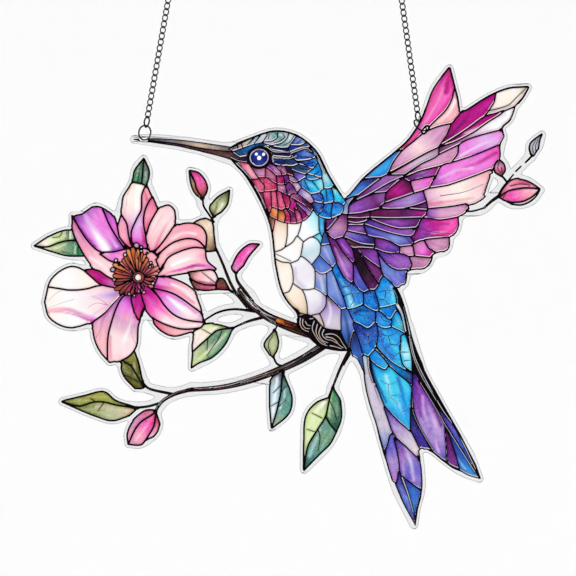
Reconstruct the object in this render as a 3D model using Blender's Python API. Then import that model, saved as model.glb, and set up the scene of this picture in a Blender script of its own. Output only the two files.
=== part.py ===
"""A hummingbird-and-blossom suncatcher: a cut sheet of clear acrylic hung from two black chains.

The sheet faces -Y. The origin is the height at which the two hooks bear, midway between them,
and everything hangs below it. Sizes in this file are millimetres; MM turns them into metres.
"""

import math

import bpy
import numpy as np
from mathutils import Matrix, Vector

MM = 0.001

# The sheet
SHEET_THICKNESS = 2.0
CLEAR_MARGIN = 2.2  # clear acrylic left outside the printed picture
FILLET = 2.0  # rounding where two shapes of the outline meet
GRID = 0.5  # spacing of the field that the outline is traced from
CURVE_STEP = 1.2  # spacing of the points along a smooth run
OUTLINE_TOLERANCE = 0.09
SMALLEST_GAP = 12.0  # area in square millimetres under which a slit is left uncut
HOLE_LENGTH = 4.4  # the oval holes for the rings
HOLE_HEIGHT = 1.9

# The rings that pass through the sheet
RING_RADIUS = 3.65  # to the middle of the wire
RING_WIRE = 0.8

# The chain
LINK_WIRE = 0.62
LINK_HALF_LENGTH = 1.885
LINK_HALF_WIDTH = 1.24
LINK_TWIST = 45.0  # how far each end of a link is twisted, in degrees
LINK_GAP = 0.1  # slack between two wires that hang on each other
CONNECTOR_HALF_LENGTH = 2.775
CONNECTOR_HALF_WIDTH = 1.2
CONNECTOR_WIRE = 0.8
LINK_STEPS = 10
WIRE_SIDES = 5

# The rings that go over the hooks
HOOK_RING_RADIUS = 5.5
HOOK_RING_WIRE = 1.0
RING_STEPS = 24

# Along a leg: from the sheet ring's wire to the connector's middle and to the first link's
# middle, from link to link, and from the last link's middle to the hook ring's.
RING_TO_CONNECTOR = CONNECTOR_HALF_LENGTH - (RING_WIRE + CONNECTOR_WIRE) / 2 - LINK_GAP
CONNECTOR_TO_LINK = (
    CONNECTOR_HALF_LENGTH + LINK_HALF_LENGTH - (CONNECTOR_WIRE + LINK_WIRE) / 2 - LINK_GAP
)
RING_TO_LINK = RING_TO_CONNECTOR + CONNECTOR_TO_LINK
LINK_PITCH = 2 * LINK_HALF_LENGTH - LINK_WIRE - LINK_GAP
LINK_TO_HOOK = LINK_HALF_LENGTH + HOOK_RING_RADIUS - (HOOK_RING_WIRE + LINK_WIRE) / 2 - LINK_GAP

# Where the chain legs start, in the sheet's own frame: x and z from the middle of the sheet
LEFT_RING = dict(centre=(-71.6, 77.65), axis=10.0, turn=38.0, pull=0.0)
RIGHT_RING = dict(centre=(66.1, 81.3), axis=-50.0, turn=56.0, pull=52.0)
LEFT_LEAN = 10.0  # degrees from upright
RIGHT_LEAN = -8.0
LEFT_LINKS = 21
RIGHT_LINKS = 20

# The outline of the picture, as runs of a smooth curve that meet at corners. x, z in the
# sheet's own frame.
SHAPES = {
    "beak": [
        [(-76.8, 74.3), (-69, 74.8), (-50, 73.3), (-29, 70.2)],
        [(-29, 64.8), (-45, 69.0), (-62, 72.3), (-76.8, 74.3)],
    ],
    "head": [
        [(-30, 70), (-20, 73.8), (-7, 78), (4, 76), (13.8, 68), (20, 56), (28.5, 42.5)],
        [(34, 20), (24, 0), (6.5, -13.5)],
        [(6.5, -13.5), (-1.5, -4), (-5.5, 10), (-8, 30), (-13, 43), (-22, 58), (-30, 65.2)],
    ],
    "back": [
        [(20, 40), (50, 40), (48, 5)],
        [(52, 3.5), (57, -7), (60.5, -20), (66, -38)],
        [(62, -62), (43, -62)],
        [(40, -51), (38.3, -43), (31, -31)],
        [(19, -29.5), (12.5, -20), (6, -13)],
    ],
    "left_tail": [
        [(38.4, -42), (40.2, -53), (45, -70), (48, -81), (53.8, -100), (63, -118.4)],
        [(64.2, -110), (66.5, -101), (66.3, -90), (64.3, -77), (62, -55)],
    ],
    "right_tail": [
        [(62, -45), (63, -70), (64.8, -79.2)],
        [(71.5, -80.9), (78, -86), (86.5, -91.8), (95.6, -95.2)],
        [(91.5, -84.3), (84, -71), (75.5, -56), (66, -38), (60.5, -20)],
    ],
    "wing": [
        [(28, 42.5), (37.5, 54), (55, 68.6)],
        [(75, 80), (98, 80), (100, 60), (84, 40)],
        [(76, 25), (64, 16), (46, 4), (30, 20)],
    ],
    "first_feather": [
        [(55, 67), (62.6, 76.5), (67.3, 84.5), (73, 99.5), (80.6, 109.7)],
        [(83.2, 99.5), (84.8, 91), (83.3, 84), (76, 70)],
    ],
    "second_feather": [
        [(76, 70), (83.5, 84), (90, 88.8), (102, 96.3), (111, 99.6), (119.8, 100.2)],
        [(116.5, 94.5), (113, 90.8), (100, 80), (80, 70)],
    ],
    "third_feather": [[(80, 66), (100, 86), (112, 89.6), (110.5, 84), (98, 77)]],
    "fourth_feather": [[(84, 64), (95, 76), (107.3, 77), (105.5, 70.5), (92, 62)]],
    "fifth_feather": [[(70, 50), (92, 66), (105.4, 71), (104.8, 64), (99.5, 58), (80, 52)]],
    "sixth_feather": [[(68, 46), (84, 54), (100, 58.8), (98, 49), (88.5, 41.5), (74, 40)]],
    "seventh_feather": [[(68, 38), (80, 42), (88.6, 41.5), (85, 35.8), (74, 33.5)]],
    "eighth_feather": [[(64, 28), (74, 34), (84.7, 34.8), (83.3, 27.6), (74, 24), (62, 22)]],
    "ninth_feather": [[(64, 20), (72, 25), (80, 25), (79.3, 19), (70, 17)]],
    "tenth_feather": [[(52, 14), (64, 20), (71.3, 15), (68, 10), (60, 9)]],
    "last_feather": [
        [(46, 10), (56, 12), (58.9, 8.6)],
        [(58.9, 8.6), (58.7, 3.5), (57.3, 1.3), (52, 3)],
    ],
    "top_leaf": [[(-77.4, 52), (-76, 60), (-72.2, 64.4)], [(-69.7, 58), (-71, 51)]],
    "top_petal": [
        [(-72, 20), (-85, 24), (-85, 32), (-82.3, 45), (-77.5, 52.2)],
        [(-71, 51.5), (-67.6, 46), (-65.5, 40.3)],
        [(-60.5, 41.4), (-57.2, 39), (-57, 33), (-62, 20)],
    ],
    "right_petal": [
        [(-66, 7), (-62, 28), (-58, 30.2)],
        [(-52, 32.1), (-44.5, 30.8), (-41, 26), (-41.8, 19)],
        [(-40.8, 13.5), (-37.5, 10.2), (-49, 8.2), (-66, 6.2)],
    ],
    "left_petal": [
        [(-75, 5), (-83, 24), (-86, 34), (-96, 40.6), (-103, 36.5), (-107.6, 36)],
        [(-107, 29), (-102.5, 17.6), (-95, 9), (-86, 2)],
    ],
    "wedge_petal": [[(-101.5, 8.4), (-96, 9.2), (-88, 4)], [(-88, 0), (-94.5, 2)]],
    "white_petal": [
        [(-88, 1), (-96, 3.6), (-101.5, 8.4), (-109, 10.3), (-118, 4.2), (-121.3, -7)],
        [(-119, -14.5), (-110, -19.4), (-97, -16.6), (-84, -3)],
    ],
    "lower_petal": [
        [(-84, -4), (-95, -14.5), (-97, -22), (-94, -31), (-89, -36.9)],
        [(-80, -34), (-76, -28.5), (-75, -18), (-71, -10), (-74, 2)],
    ],
    "magenta_petal": [
        [(-74, -2), (-70.5, -11.5), (-64, -20.5), (-57, -23.7), (-46, -20.5)],
        [(-42.3, -16.9), (-44.3, -9), (-48, -1.6), (-56, 3.3), (-66, 5.3)],
    ],
    "blossom_heart": [[(-90, 2), (-80, 22), (-64, 15), (-66, -2), (-80, -5), (-90, 2)]],
    "left_leaf": [
        [(-126.4, 21.1), (-119, 25.7), (-110.5, 28.6), (-105, 27.4)],
        [(-102, 17), (-110, 16.4), (-119, 18.9), (-126.4, 21.1)],
    ],
    "right_sepal": [
        [(-47.5, 31.5), (-43, 34.1), (-38.1, 32), (-36.6, 20)],
        [(-41, 20.5), (-43, 29.5)],
    ],
    "small_bud": [
        [(-49.2, 7.8), (-48, 3), (-44.5, -0.5), (-38, -0.8), (-30, -0.4)],
        [(-34.8, 5), (-41, 9.4), (-49.2, 7.8)],
    ],
    "upper_bud": [
        [(-49, 58.4), (-48.4, 53), (-46.5, 48), (-43, 45)],
        [(-40.6, 49), (-41.8, 54), (-45, 57.4), (-49, 58.4)],
    ],
    "upper_leaf": [
        [(-37, 36), (-38.4, 40), (-35.5, 45), (-29.5, 48.6)],
        [(-30.6, 42), (-33.5, 38), (-37, 36)],
    ],
    "curved_bud": [
        [(-14.6, 21.6), (-19, 21.6), (-24.5, 17.3), (-27.4, 10), (-25.8, 7.8)],
        [(-22.5, 11), (-19.6, 16), (-14.6, 21.6)],
    ],
    "middle_leaf": [
        [(-45, -20.2), (-47.5, -28), (-48, -39.7)],
        [(-38, -34.7), (-31.7, -28.5), (-27.6, -20.2)],
        [(-34, -18.9), (-39, -18.4), (-45, -20.2)],
    ],
    "olive_leaf": [
        [(-77.2, -31.5), (-82.7, -35.8), (-82.2, -43), (-76.3, -49.9)],
        [(-72.6, -49.4), (-75, -37), (-77.2, -31.5)],
    ],
    "long_leaf": [
        [(-112.6, -56.7), (-102, -54.2), (-92, -52.2), (-86.5, -56.5), (-76, -60)],
        [(-81, -64), (-88, -66), (-97, -63.4), (-112.6, -56.7)],
    ],
    "low_bud": [
        [(-66.5, -62), (-71, -62), (-77.5, -67.5), (-80, -73), (-79.6, -77.8)],
        [(-73.5, -78), (-66.5, -73), (-64.4, -68), (-66.5, -62)],
    ],
    "hanging_bud": [
        [(-6.8, -21.5), (-11.6, -28.3), (-7.6, -34.2)],
        [(-5, -28), (-6.8, -21.5)],
    ],
    "blue_leaf": [
        [(-3.5, -41.5), (-8, -46), (-8.9, -57), (-8, -69.6)],
        [(0.2, -62.5), (1.7, -55), (-2.3, -44)],
    ],
    "tall_leaf": [
        [(22.3, -49.8), (20.3, -54.8)],
        [(14, -57.8), (9.3, -64), (8.2, -76), (8.1, -90.7)],
        [(21.5, -77), (26.3, -65), (25.8, -56), (22.3, -49.8)],
    ],
    "pink_bud": [
        [(105.3, 45.7), (110.5, 52.8), (118.5, 54), (126.2, 49)],
        [(121.5, 43.2), (112, 41.6), (105.3, 45.7)],
    ],
    "rose_bud": [[(106.3, 56), (103, 60), (105.3, 64), (108.6, 61), (107.6, 56.6)]],
    "grey_leaf": [
        [(121.3, 65.8), (121, 71.5), (126.8, 76.6)],
        [(125.3, 70.5), (121.3, 65.8)],
    ],
}

# Stems and branches: the middle line and the width at its start and end.
STEMS = [
    ([(-36.6, 20), (-33, 13), (-27.5, 0), (-20, -10)], 1.4, 1.6),
    ([(-42.6, 42), (-40.5, 37.5), (-37.8, 34)], 1.0, 1.0),
    ([(-43, 45), (-42.6, 42)], 1.2, 1.0),
    ([(-38, 34), (-37, 36.5)], 1.2, 1.2),
    ([(-26.3, 8.4), (-25.5, 4), (-21.5, -2), (-18, -7)], 1.0, 2.4),
    ([(-30, -0.3), (-25, -4), (-19, -10)], 1.0, 1.6),
    ([(-20, -4), (-17, -10), (-8, -15.5), (2, -20), (14, -23)], 3.4, 6.4),
    ([(-42.5, -16.9), (-35, -12.2), (-27, -10.5), (-15, -12)], 1.0, 1.4),
    ([(-28, -20.2), (-20, -16.7), (-12, -14.5)], 1.0, 1.8),
    ([(-6.8, -21.6), (-5, -18)], 0.9, 0.9),
    ([(-7.5, -34), (-5.4, -38), (-2, -39.2)], 1.1, 1.1),
    ([(-72.4, -47.5), (-70, -50), (-58, -53)], 1.2, 1.6),
    ([(-66.6, -62), (-63, -56.8), (-57, -53.2), (-48, -50.6)], 1.6, 2.0),
    ([(-48, -50.6), (-33, -49.6), (-18, -46), (-2, -39.8), (18, -29)], 2.0, 4.4),
    ([(-78, -60), (-70, -59.2), (-64, -57.5)], 1.4, 1.4),
    ([(31, -30.5), (26, -40.5), (22.2, -50)], 1.8, 1.2),
    ([(86, 38.6), (97, 39.6), (103.5, 46), (109.6, 52.6)], 2.0, 1.4),
    ([(106.5, 56), (109.5, 52.6), (115, 59.5), (121.4, 66)], 1.0, 1.0),
]


def smooth_run(points, step):
    """Points about step apart on a smooth curve through the given ones."""
    points = np.array(points, float)
    if len(points) < 3:
        return points
    before = 2 * points[0] - points[1]
    after = 2 * points[-1] - points[-2]
    knots = np.vstack([before, points, after])
    gaps = np.sqrt(np.linalg.norm(np.diff(knots, axis=0), axis=1))
    curve = []
    for k in range(1, len(knots) - 2):
        p0, p1, p2, p3 = knots[k - 1 : k + 3]
        g0, g1, g2 = gaps[k - 1 : k + 2]
        leave = ((p1 - p0) / g0 - (p2 - p0) / (g0 + g1) + (p2 - p1) / g1) * g1
        arrive = ((p2 - p1) / g1 - (p3 - p1) / (g1 + g2) + (p3 - p2) / g2) * g1
        count = max(2, round(np.linalg.norm(p2 - p1) / step))
        t = np.arange(count)[:, None] / count
        curve.append(
            (2 * t**3 - 3 * t**2 + 1) * p1
            + (t**3 - 2 * t**2 + t) * leave
            + (3 * t**2 - 2 * t**3) * p2
            + (t**3 - t**2) * arrive
        )
    return np.vstack(curve + [points[-1:]])


def closed_outline(runs):
    """One closed polygon from runs whose ends are its corners."""
    if len(runs) == 1:
        ring = runs[0] if runs[0][0] == runs[0][-1] else runs[0] + runs[0][:1]
        return smooth_run(ring, CURVE_STEP)[:-1]
    pieces = []
    corner = None
    for run in runs:
        joined = run if corner is None or corner == run[0] else [corner] + run
        pieces.append(smooth_run(joined, CURVE_STEP)[:-1])
        corner = run[-1]
    if corner != runs[0][0]:
        pieces.append(np.array([corner], float))
    return np.vstack(pieces)


def segment_distance(start, end, x, z):
    """How far each grid point is from a segment, and how far along the segment it lies."""
    run = np.subtract(end, start)
    along = ((x - start[0]) * run[0] + (z - start[1]) * run[1]) / max(run @ run, 1e-9)
    along = along.clip(0, 1)
    return np.hypot(x - start[0] - along * run[0], z - start[1] - along * run[1]), along


def shape_field(polygon, x, z):
    """Distance to a polygon's edge, negative inside."""
    nearest = np.full(x.shape, 1e9)
    inside = np.zeros(x.shape, bool)
    for start, end in zip(polygon, np.roll(polygon, -1, axis=0)):
        nearest = np.minimum(nearest, segment_distance(start, end, x, z)[0])
        rise = end[1] - start[1]
        if rise:
            crosses = (start[1] > z) != (end[1] > z)
            inside ^= crosses & (x < start[0] + (z - start[1]) * (end[0] - start[0]) / rise)
    return np.where(inside, -nearest, nearest)


def stem_field(points, first_width, last_width, x, z):
    """Distance to the edge of a stem whose width runs evenly from its start to its end."""
    line = smooth_run(points, CURVE_STEP)
    nearest = np.full(x.shape, 1e9)
    for k, (start, end) in enumerate(zip(line, line[1:])):
        away, along = segment_distance(start, end, x, z)
        width = first_width + (last_width - first_width) * (k + along) / (len(line) - 1)
        nearest = np.minimum(nearest, away - width / 2)
    return nearest


def soft_union(a, b):
    """The nearer of two fields, rounded where they meet."""
    blend = (0.5 + 0.5 * (b - a) / FILLET).clip(0, 1)
    return b * (1 - blend) + a * blend - FILLET * blend * (1 - blend)


def sheet_field():
    """The cut sheet as a field on a grid, negative in the acrylic, with the grid's x and z."""
    outlines = [closed_outline(runs) for runs in SHAPES.values()]
    reach = CLEAR_MARGIN + FILLET + 2 * GRID
    corners = np.vstack(outlines)
    x = np.arange(corners[:, 0].min() - reach, corners[:, 0].max() + reach, GRID)
    z = np.arange(corners[:, 1].min() - reach, corners[:, 1].max() + reach, GRID)
    field = np.full((len(x), len(z)), reach)

    def window(points, extra):
        low, high = np.min(points, axis=0) - extra, np.max(points, axis=0) + extra
        return np.ix_(
            np.flatnonzero((x > low[0]) & (x < high[0])),
            np.flatnonzero((z > low[1]) & (z < high[1])),
        )

    def add(points, extra, make):
        part = window(points, extra)
        here = make(x[part[0]] + 0 * z[part[1]], z[part[1]] + 0 * x[part[0]])
        field[part] = soft_union(field[part], here)

    for outline in outlines:
        add(outline, reach, lambda gx, gz: shape_field(outline, gx, gz))
    for points, first, last in STEMS:
        add(points, reach + max(first, last), lambda gx, gz: stem_field(points, first, last, gx, gz))
    return field - CLEAR_MARGIN, x, z


# For each pattern of grid corners inside, the cell sides that the outline enters and leaves by.
CROSSINGS = {
    1: [(0, 3)], 2: [(1, 0)], 3: [(1, 3)], 4: [(2, 1)], 5: [(0, 3), (2, 1)], 6: [(2, 0)],
    7: [(2, 3)], 8: [(3, 2)], 9: [(0, 2)], 10: [(1, 0), (3, 2)], 11: [(1, 2)],
    12: [(3, 1)], 13: [(0, 1)], 14: [(3, 0)],
}  # fmt: skip


def traced_loops(field, x, z):
    """The closed lines where a field is zero, with the inside on their left."""
    inside = field < 0
    pattern = (
        inside[:-1, :-1] + 2 * inside[1:, :-1] + 4 * inside[1:, 1:] + 8 * inside[:-1, 1:]
    )
    after = {}
    for case, pairs in CROSSINGS.items():
        for i, k in zip(*np.nonzero(pattern == case)):
            sides = ((i, k, 0), (i + 1, k, 1), (i, k + 1, 0), (i, k, 1))
            for enter, leave in pairs:
                after[sides[enter]] = sides[leave]

    def place(side):
        i, k, upright = side
        j, m = (i, k + 1) if upright else (i + 1, k)
        t = field[i, k] / (field[i, k] - field[j, m])
        return x[i] + t * (x[j] - x[i]), z[k] + t * (z[m] - z[k])

    loops = []
    while after:
        start, side = after.popitem()
        loop = [start]
        while side != start:
            loop.append(side)
            side = after.pop(side)
        loops.append(np.array([place(side) for side in loop]))
    return loops


def enclosed_area(loop):
    """A loop's area, negative where it runs round a gap."""
    x, z = loop.T
    return 0.5 * float(x @ np.roll(z, -1) - z @ np.roll(x, -1))


def thinned(loop, tolerance):
    """The loop with only the points that it needs to stay within the tolerance."""
    far = int(np.argmax(np.linalg.norm(loop - loop[0], axis=1)))
    kept = {0, far}
    ring = np.vstack([loop, loop[:1]])
    spans = [(0, far), (far, len(loop))]
    while spans:
        first, last = spans.pop()
        if last - first < 2:
            continue
        run = ring[last] - ring[first]
        away = ring[first + 1 : last] - ring[first]
        length = max(float(np.hypot(*run)), 1e-9)
        off = np.abs(away[:, 0] * run[1] - away[:, 1] * run[0]) / length
        worst = int(np.argmax(off))
        if off[worst] > tolerance:
            middle = first + 1 + worst
            kept.add(middle)
            spans += [(first, middle), (middle, last)]
    return loop[sorted(kept)]


def oval(centre, angle):
    """A ring's oval hole, long way turned by angle from level."""
    radius = HOLE_HEIGHT / 2
    reach = (HOLE_LENGTH - HOLE_HEIGHT) / 2
    points = []
    for side in (1, -1):
        for step in range(9):
            a = math.pi * (step / 8 - 0.5)
            u, v = side * (reach + radius * math.cos(a)), side * radius * math.sin(a)
            c, s = math.cos(angle), math.sin(angle)
            points.append((centre[0] + u * c - v * s, centre[1] + u * s + v * c))
    return np.array(points)


def lean_direction(degrees):
    """The unit vector that leans the given way from upright, towards +X."""
    return Vector((math.sin(math.radians(degrees)), 0, math.cos(math.radians(degrees))))


def ring_matrix(ring, drop):
    """Places a ring so that it crosses the sheet's plane on its tilted axis."""
    x, z = ring["centre"]
    tilt = Matrix.Rotation(math.radians(ring["axis"]), 4, "Y")
    turn = Matrix.Rotation(math.radians(ring["turn"]), 4, "Z")
    return Matrix.Translation(Vector((x, 0, z - drop)) * MM) @ tilt @ turn


def ring_hole(ring):
    """The middle of the ring's hole and how far its long way is turned from level."""
    down = -lean_direction(ring["axis"]) * RING_RADIUS
    lift = lean_direction(ring["axis"]) * 0.3
    centre = (ring["centre"][0] + down.x + lift.x, ring["centre"][1] + down.z + lift.z)
    return centre, -math.radians(ring["axis"])


def ring_top(ring, drop):
    """Where the connector pulls on a ring, and the direction of the wire there."""
    place = ring_matrix(ring, drop)
    angle = math.radians(ring["pull"])
    point = place @ (Vector((math.sin(angle), 0, math.cos(angle))) * RING_RADIUS * MM)
    wire = place.to_3x3() @ Vector((math.cos(angle), 0, -math.sin(angle)))
    return point, wire


def wire_object(name, points, wire, material, collection):
    """A closed bent wire as a curve object."""
    curve = bpy.data.curves.new(name, "CURVE")
    curve.dimensions = "3D"
    curve.bevel_depth = wire / 2 * MM
    curve.bevel_resolution = WIRE_SIDES - 4
    curve.use_fill_caps = True
    spline = curve.splines.new("POLY")
    spline.points.add(len(points) - 1)
    for point, place in zip(spline.points, points):
        point.co = (*place, 1)
    spline.use_cyclic_u = True
    curve.materials.append(material)
    made = bpy.data.objects.new(name, curve)
    collection.objects.link(made)
    return made


def ring_object(name, radius, wire, steps, material, collection):
    """A round ring in its own XZ plane."""
    turns = [2 * math.pi * step / steps for step in range(steps)]
    points = [Vector((math.sin(a), 0, math.cos(a))) * radius * MM for a in turns]
    return wire_object(name, points, wire, material, collection)


def link_curve(half_length, half_width, low_twist, high_twist, steps):
    """A twisted oval link's middle line, long way up, in its own frame."""
    points = []
    for step in range(steps):
        turn = 2 * math.pi * (step + 0.5) / steps
        along = math.sin(turn)
        across = half_width * math.cos(turn)
        twist = math.radians(low_twist + (high_twist - low_twist) * (along + 1) / 2)
        points.append(
            Vector((across * math.cos(twist), across * math.sin(twist), half_length * along)) * MM
        )
    return points


def chain_leg(side, ring, lean, count, hook_height, material, collection):
    """A connector, a chain and the ring over the hook, from a sheet ring up."""
    start, wire = ring_top(ring, hook_height)
    up = lean_direction(lean)
    tilt = Matrix.Rotation(math.radians(lean), 4, "Y")
    bearing = (HOOK_RING_RADIUS - HOOK_RING_WIRE / 2) * up.z
    length = (-bearing - start.z / MM) / up.z
    pitch = (length - LINK_TO_HOOK - RING_TO_LINK) / (count - 1)

    level = tilt.inverted().to_3x3() @ wire
    low_twist = math.degrees(math.atan2(level.y, level.x)) - 90
    low_twist = (low_twist + 90) % 180 - 90
    points = link_curve(
        CONNECTOR_HALF_LENGTH, CONNECTOR_HALF_WIDTH, low_twist, LINK_TWIST, LINK_STEPS + 4
    )
    connector = wire_object(f"{side}_connector", points, CONNECTOR_WIRE, material, collection)
    connector.matrix_world = Matrix.Translation(start + up * RING_TO_CONNECTOR * MM) @ tilt

    points = link_curve(LINK_HALF_LENGTH, LINK_HALF_WIDTH, -LINK_TWIST, LINK_TWIST, LINK_STEPS)
    for index in range(count):
        name = f"{side}_link_{index + 1:02d}"
        link = wire_object(name, points, LINK_WIRE, material, collection)
        centre = start + up * (RING_TO_LINK + pitch * index) * MM
        link.matrix_world = Matrix.Translation(centre) @ tilt

    hook_ring = ring_object(
        f"{side}_hook_ring", HOOK_RING_RADIUS, HOOK_RING_WIRE, RING_STEPS, material, collection
    )
    turn = Matrix.Rotation(-math.radians(LINK_TWIST), 4, "Z")
    hook_ring.matrix_world = Matrix.Translation(start + up * length * MM) @ tilt @ turn


def leg_height(ring, lean, count):
    """How high above the sheet's middle a leg of this many links bears on its hook."""
    start, _ = ring_top(ring, 0)
    length = RING_TO_LINK + (count - 1) * LINK_PITCH + LINK_TO_HOOK
    bearing = HOOK_RING_RADIUS - HOOK_RING_WIRE / 2
    return start.z / MM + (length + bearing) * lean_direction(lean).z


def sheet_object(drop, material, collection):
    """The cut acrylic sheet, with its gaps and the two ring holes."""
    field, x, z = sheet_field()
    loops = []
    for loop in traced_loops(field, x, z):
        if abs(enclosed_area(loop)) > SMALLEST_GAP:
            loops.append(thinned(loop, OUTLINE_TOLERANCE))
    loops += [oval(*ring_hole(ring)) for ring in (LEFT_RING, RIGHT_RING)]

    curve = bpy.data.curves.new("acrylic_panel", "CURVE")
    curve.dimensions = "2D"
    curve.fill_mode = "BOTH"
    curve.extrude = SHEET_THICKNESS / 2 * MM
    for loop in loops:
        spline = curve.splines.new("POLY")
        spline.points.add(len(loop) - 1)
        for point, (px, pz) in zip(spline.points, loop):
            point.co = (px * MM, pz * MM, 0, 1)
        spline.use_cyclic_u = True
    curve.materials.append(material)
    sheet = bpy.data.objects.new("acrylic_panel", curve)
    collection.objects.link(sheet)
    stand_up = Matrix.Rotation(math.pi / 2, 4, "X")
    sheet.matrix_world = Matrix.Translation((0, 0, -drop * MM)) @ stand_up
    return sheet


def make_material(name, colour, roughness, metallic=0.0, transmission=0.0):
    material = bpy.data.materials.new(name)
    material.use_nodes = True
    shader = material.node_tree.nodes["Principled BSDF"]
    shader.inputs["Base Color"].default_value = (*colour, 1)
    shader.inputs["Roughness"].default_value = roughness
    shader.inputs["Metallic"].default_value = metallic
    shader.inputs["Transmission Weight"].default_value = transmission
    return material


def main():
    for old in list(bpy.data.objects):
        bpy.data.objects.remove(old)
    collection = bpy.data.collections.new("acrylic suncatcher")
    bpy.context.scene.collection.children.link(collection)
    acrylic = make_material("clear acrylic", (0.95, 0.97, 0.98), 0.04, transmission=1.0)
    metal = make_material("black metal", (0.02, 0.02, 0.025), 0.35, metallic=0.8)

    drop = leg_height(LEFT_RING, LEFT_LEAN, LEFT_LINKS)
    sheet_object(drop, acrylic, collection)
    legs = (
        ("left", LEFT_RING, LEFT_LEAN, LEFT_LINKS),
        ("right", RIGHT_RING, RIGHT_LEAN, RIGHT_LINKS),
    )
    for side, ring, lean, count in legs:
        sheet_ring = ring_object(
            f"{side}_sheet_ring", RING_RADIUS, RING_WIRE, RING_STEPS, metal, collection
        )
        sheet_ring.matrix_world = ring_matrix(ring, drop)
        chain_leg(side, ring, lean, count, drop, metal, collection)


main()
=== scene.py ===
"""A hummingbird-and-blossom suncatcher: clear cut acrylic with a stained-glass style print,
hung by two black chains.

Sizes are millimetres in the sheet's own frame: x to the right and z up from the middle of the
picture, as seen from the front. MM turns them into metres.
"""

import copy
import functools
import math

import bpy
import numpy as np
from bpy.props import (
    FloatProperty,
    FloatVectorProperty,
    IntProperty,
    PointerProperty,
)
from mathutils import Matrix, Vector
from mathutils.geometry import delaunay_2d_cdt


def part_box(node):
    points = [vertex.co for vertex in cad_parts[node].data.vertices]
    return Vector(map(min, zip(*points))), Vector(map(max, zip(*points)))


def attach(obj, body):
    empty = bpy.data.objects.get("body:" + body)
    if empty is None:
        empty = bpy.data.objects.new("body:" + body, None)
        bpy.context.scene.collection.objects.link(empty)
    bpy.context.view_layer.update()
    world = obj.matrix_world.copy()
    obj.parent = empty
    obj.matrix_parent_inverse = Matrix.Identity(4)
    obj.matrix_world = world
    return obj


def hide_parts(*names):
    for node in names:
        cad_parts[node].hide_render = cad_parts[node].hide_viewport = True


bl_info = {
    "name": "Hummingbird Suncatcher",
    "version": (1, 0, 0),
    "blender": (4, 5, 0),
    "location": "3D View > Sidebar > Suncatcher",
    "description": "Builds a printed acrylic suncatcher on its two chains",
    "category": "Add Mesh",
}

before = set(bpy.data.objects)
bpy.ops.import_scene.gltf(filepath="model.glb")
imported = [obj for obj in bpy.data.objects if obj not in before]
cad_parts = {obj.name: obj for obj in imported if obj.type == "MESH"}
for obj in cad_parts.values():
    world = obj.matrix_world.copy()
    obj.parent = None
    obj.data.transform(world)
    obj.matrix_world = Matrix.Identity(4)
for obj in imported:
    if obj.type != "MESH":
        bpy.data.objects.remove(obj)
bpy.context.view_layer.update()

MM = 0.001
SHEET = "acrylic_panel"
SHEET_LOW, SHEET_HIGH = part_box(SHEET)
SHEET_TOP = 111.88  # the highest cut point above the middle of the picture
MIDDLE = SHEET_HIGH.z - SHEET_TOP * MM  # height of the middle of the picture
CLEAR_MARGIN = 2.2  # clear acrylic between the picture and the cut edge
LEAST_MARGIN = 1.3  # how near the cut edge the picture may come

# How the picture is drawn
GRID = 0.25  # spacing of the fields that the shapes are traced from
REACH = 4.6  # distances are worked out this far from an edge
CURVE_STEP = 0.9  # spacing of the points along a smooth run
TOLERANCE = 0.02  # how far a traced line may stray when its points are thinned
SHORT_LOOP = 8  # loops of fewer points than this aren't thinned
LONGEST_SIDE = 16  # traced points that one side of a thinned loop may stand for
SPECK = 0.05  # square millimetres; traced loops smaller than this are left out
RIM = 0.5  # width of the band inside an area's edge that has its own row of faces
SWELL = 0.9  # how far in from its edge a coloured area has risen most of its height
SHOULDER = 0.14  # how far in from its edge a raised line reaches its full height
INNER_STEP = 0.8  # spacing of the points inside an area
LINE = 0.86  # width of the black lines
FINE_LINE = 0.54  # their width in the bird's head and breast
EDGE_LINE = 0.95  # the black line round the whole picture
RIM_SHIFT = (0.14, -0.54)  # how far a pale rim reaches into its area, and which way it faces
RIM_LEAST = 0.12  # how much less it reaches, so that it ends where it runs with the shift
SPREAD = 1.3  # how far the bird's areas may grow to meet their neighbours
LEAF_SPREAD = 0.4  # and those of leaves and buds
PETAL_SPREAD = 0.5  # and those of petals
SEED = 7  # for the random place of each area's grain
RING_HOLE = 12.0  # square millimetres that a ring's hole stays under
HOLE_MARGIN = 0.5  # clear acrylic round a ring's hole
INK_BASE = 0.02  # the lowest ink's height over the sheet
GRAIN_SPREAD = 40  # how far apart in the noise the grains of two areas may be
LAYOUT_EDGE = 0.004  # the rim that a piece's texture layout leaves free

# The wires. The rings' radii and the links' halves run to the middle of the wire.
JUMP_RING = 3.65
JUMP_WIRE = 0.8
JUMP_GAP = 0.16  # between its two ends
HOOK_RING = 5.5
HOOK_WIRE = 1.0
LINK = (1.885, 1.24)  # half its length and half its width
CONNECTOR = (2.775, 1.2)
CONNECTOR_WIRE = 0.8
TWIST = 45.0  # how far each end of a link is twisted
# Each chain: its lean, the twist of its connector's low end and the turns of its sheet ring
LEGS = {
    "left": dict(lean=10.0, twist=-52.0, ring=[(10.0, "Y"), (38.0, "Z")]),
    "right": dict(lean=-8.0, twist=-56.9, ring=[(-50.0, "Y"), (56.0, "Z")]),
}

# The stage, in metres
BOWL_LOW = -0.62  # height of the backdrop's flat middle
BOWL_FLAT = 2.0  # radius of the flat middle
BOWL_BEND = 1.5  # radius of the bend from flat to upright
BOWL_TOP = 2.6  # height of its rim
BOWL_SIDES = 96
LAMP_SIDE, LAMP_FRONT, LAMP_ABOVE = 0.9, 1.3, 0.6  # from the middle of the picture
LAMP_SIZE = 0.7
SENSOR = 36  # width of the camera's sensor in its own millimetres

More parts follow.
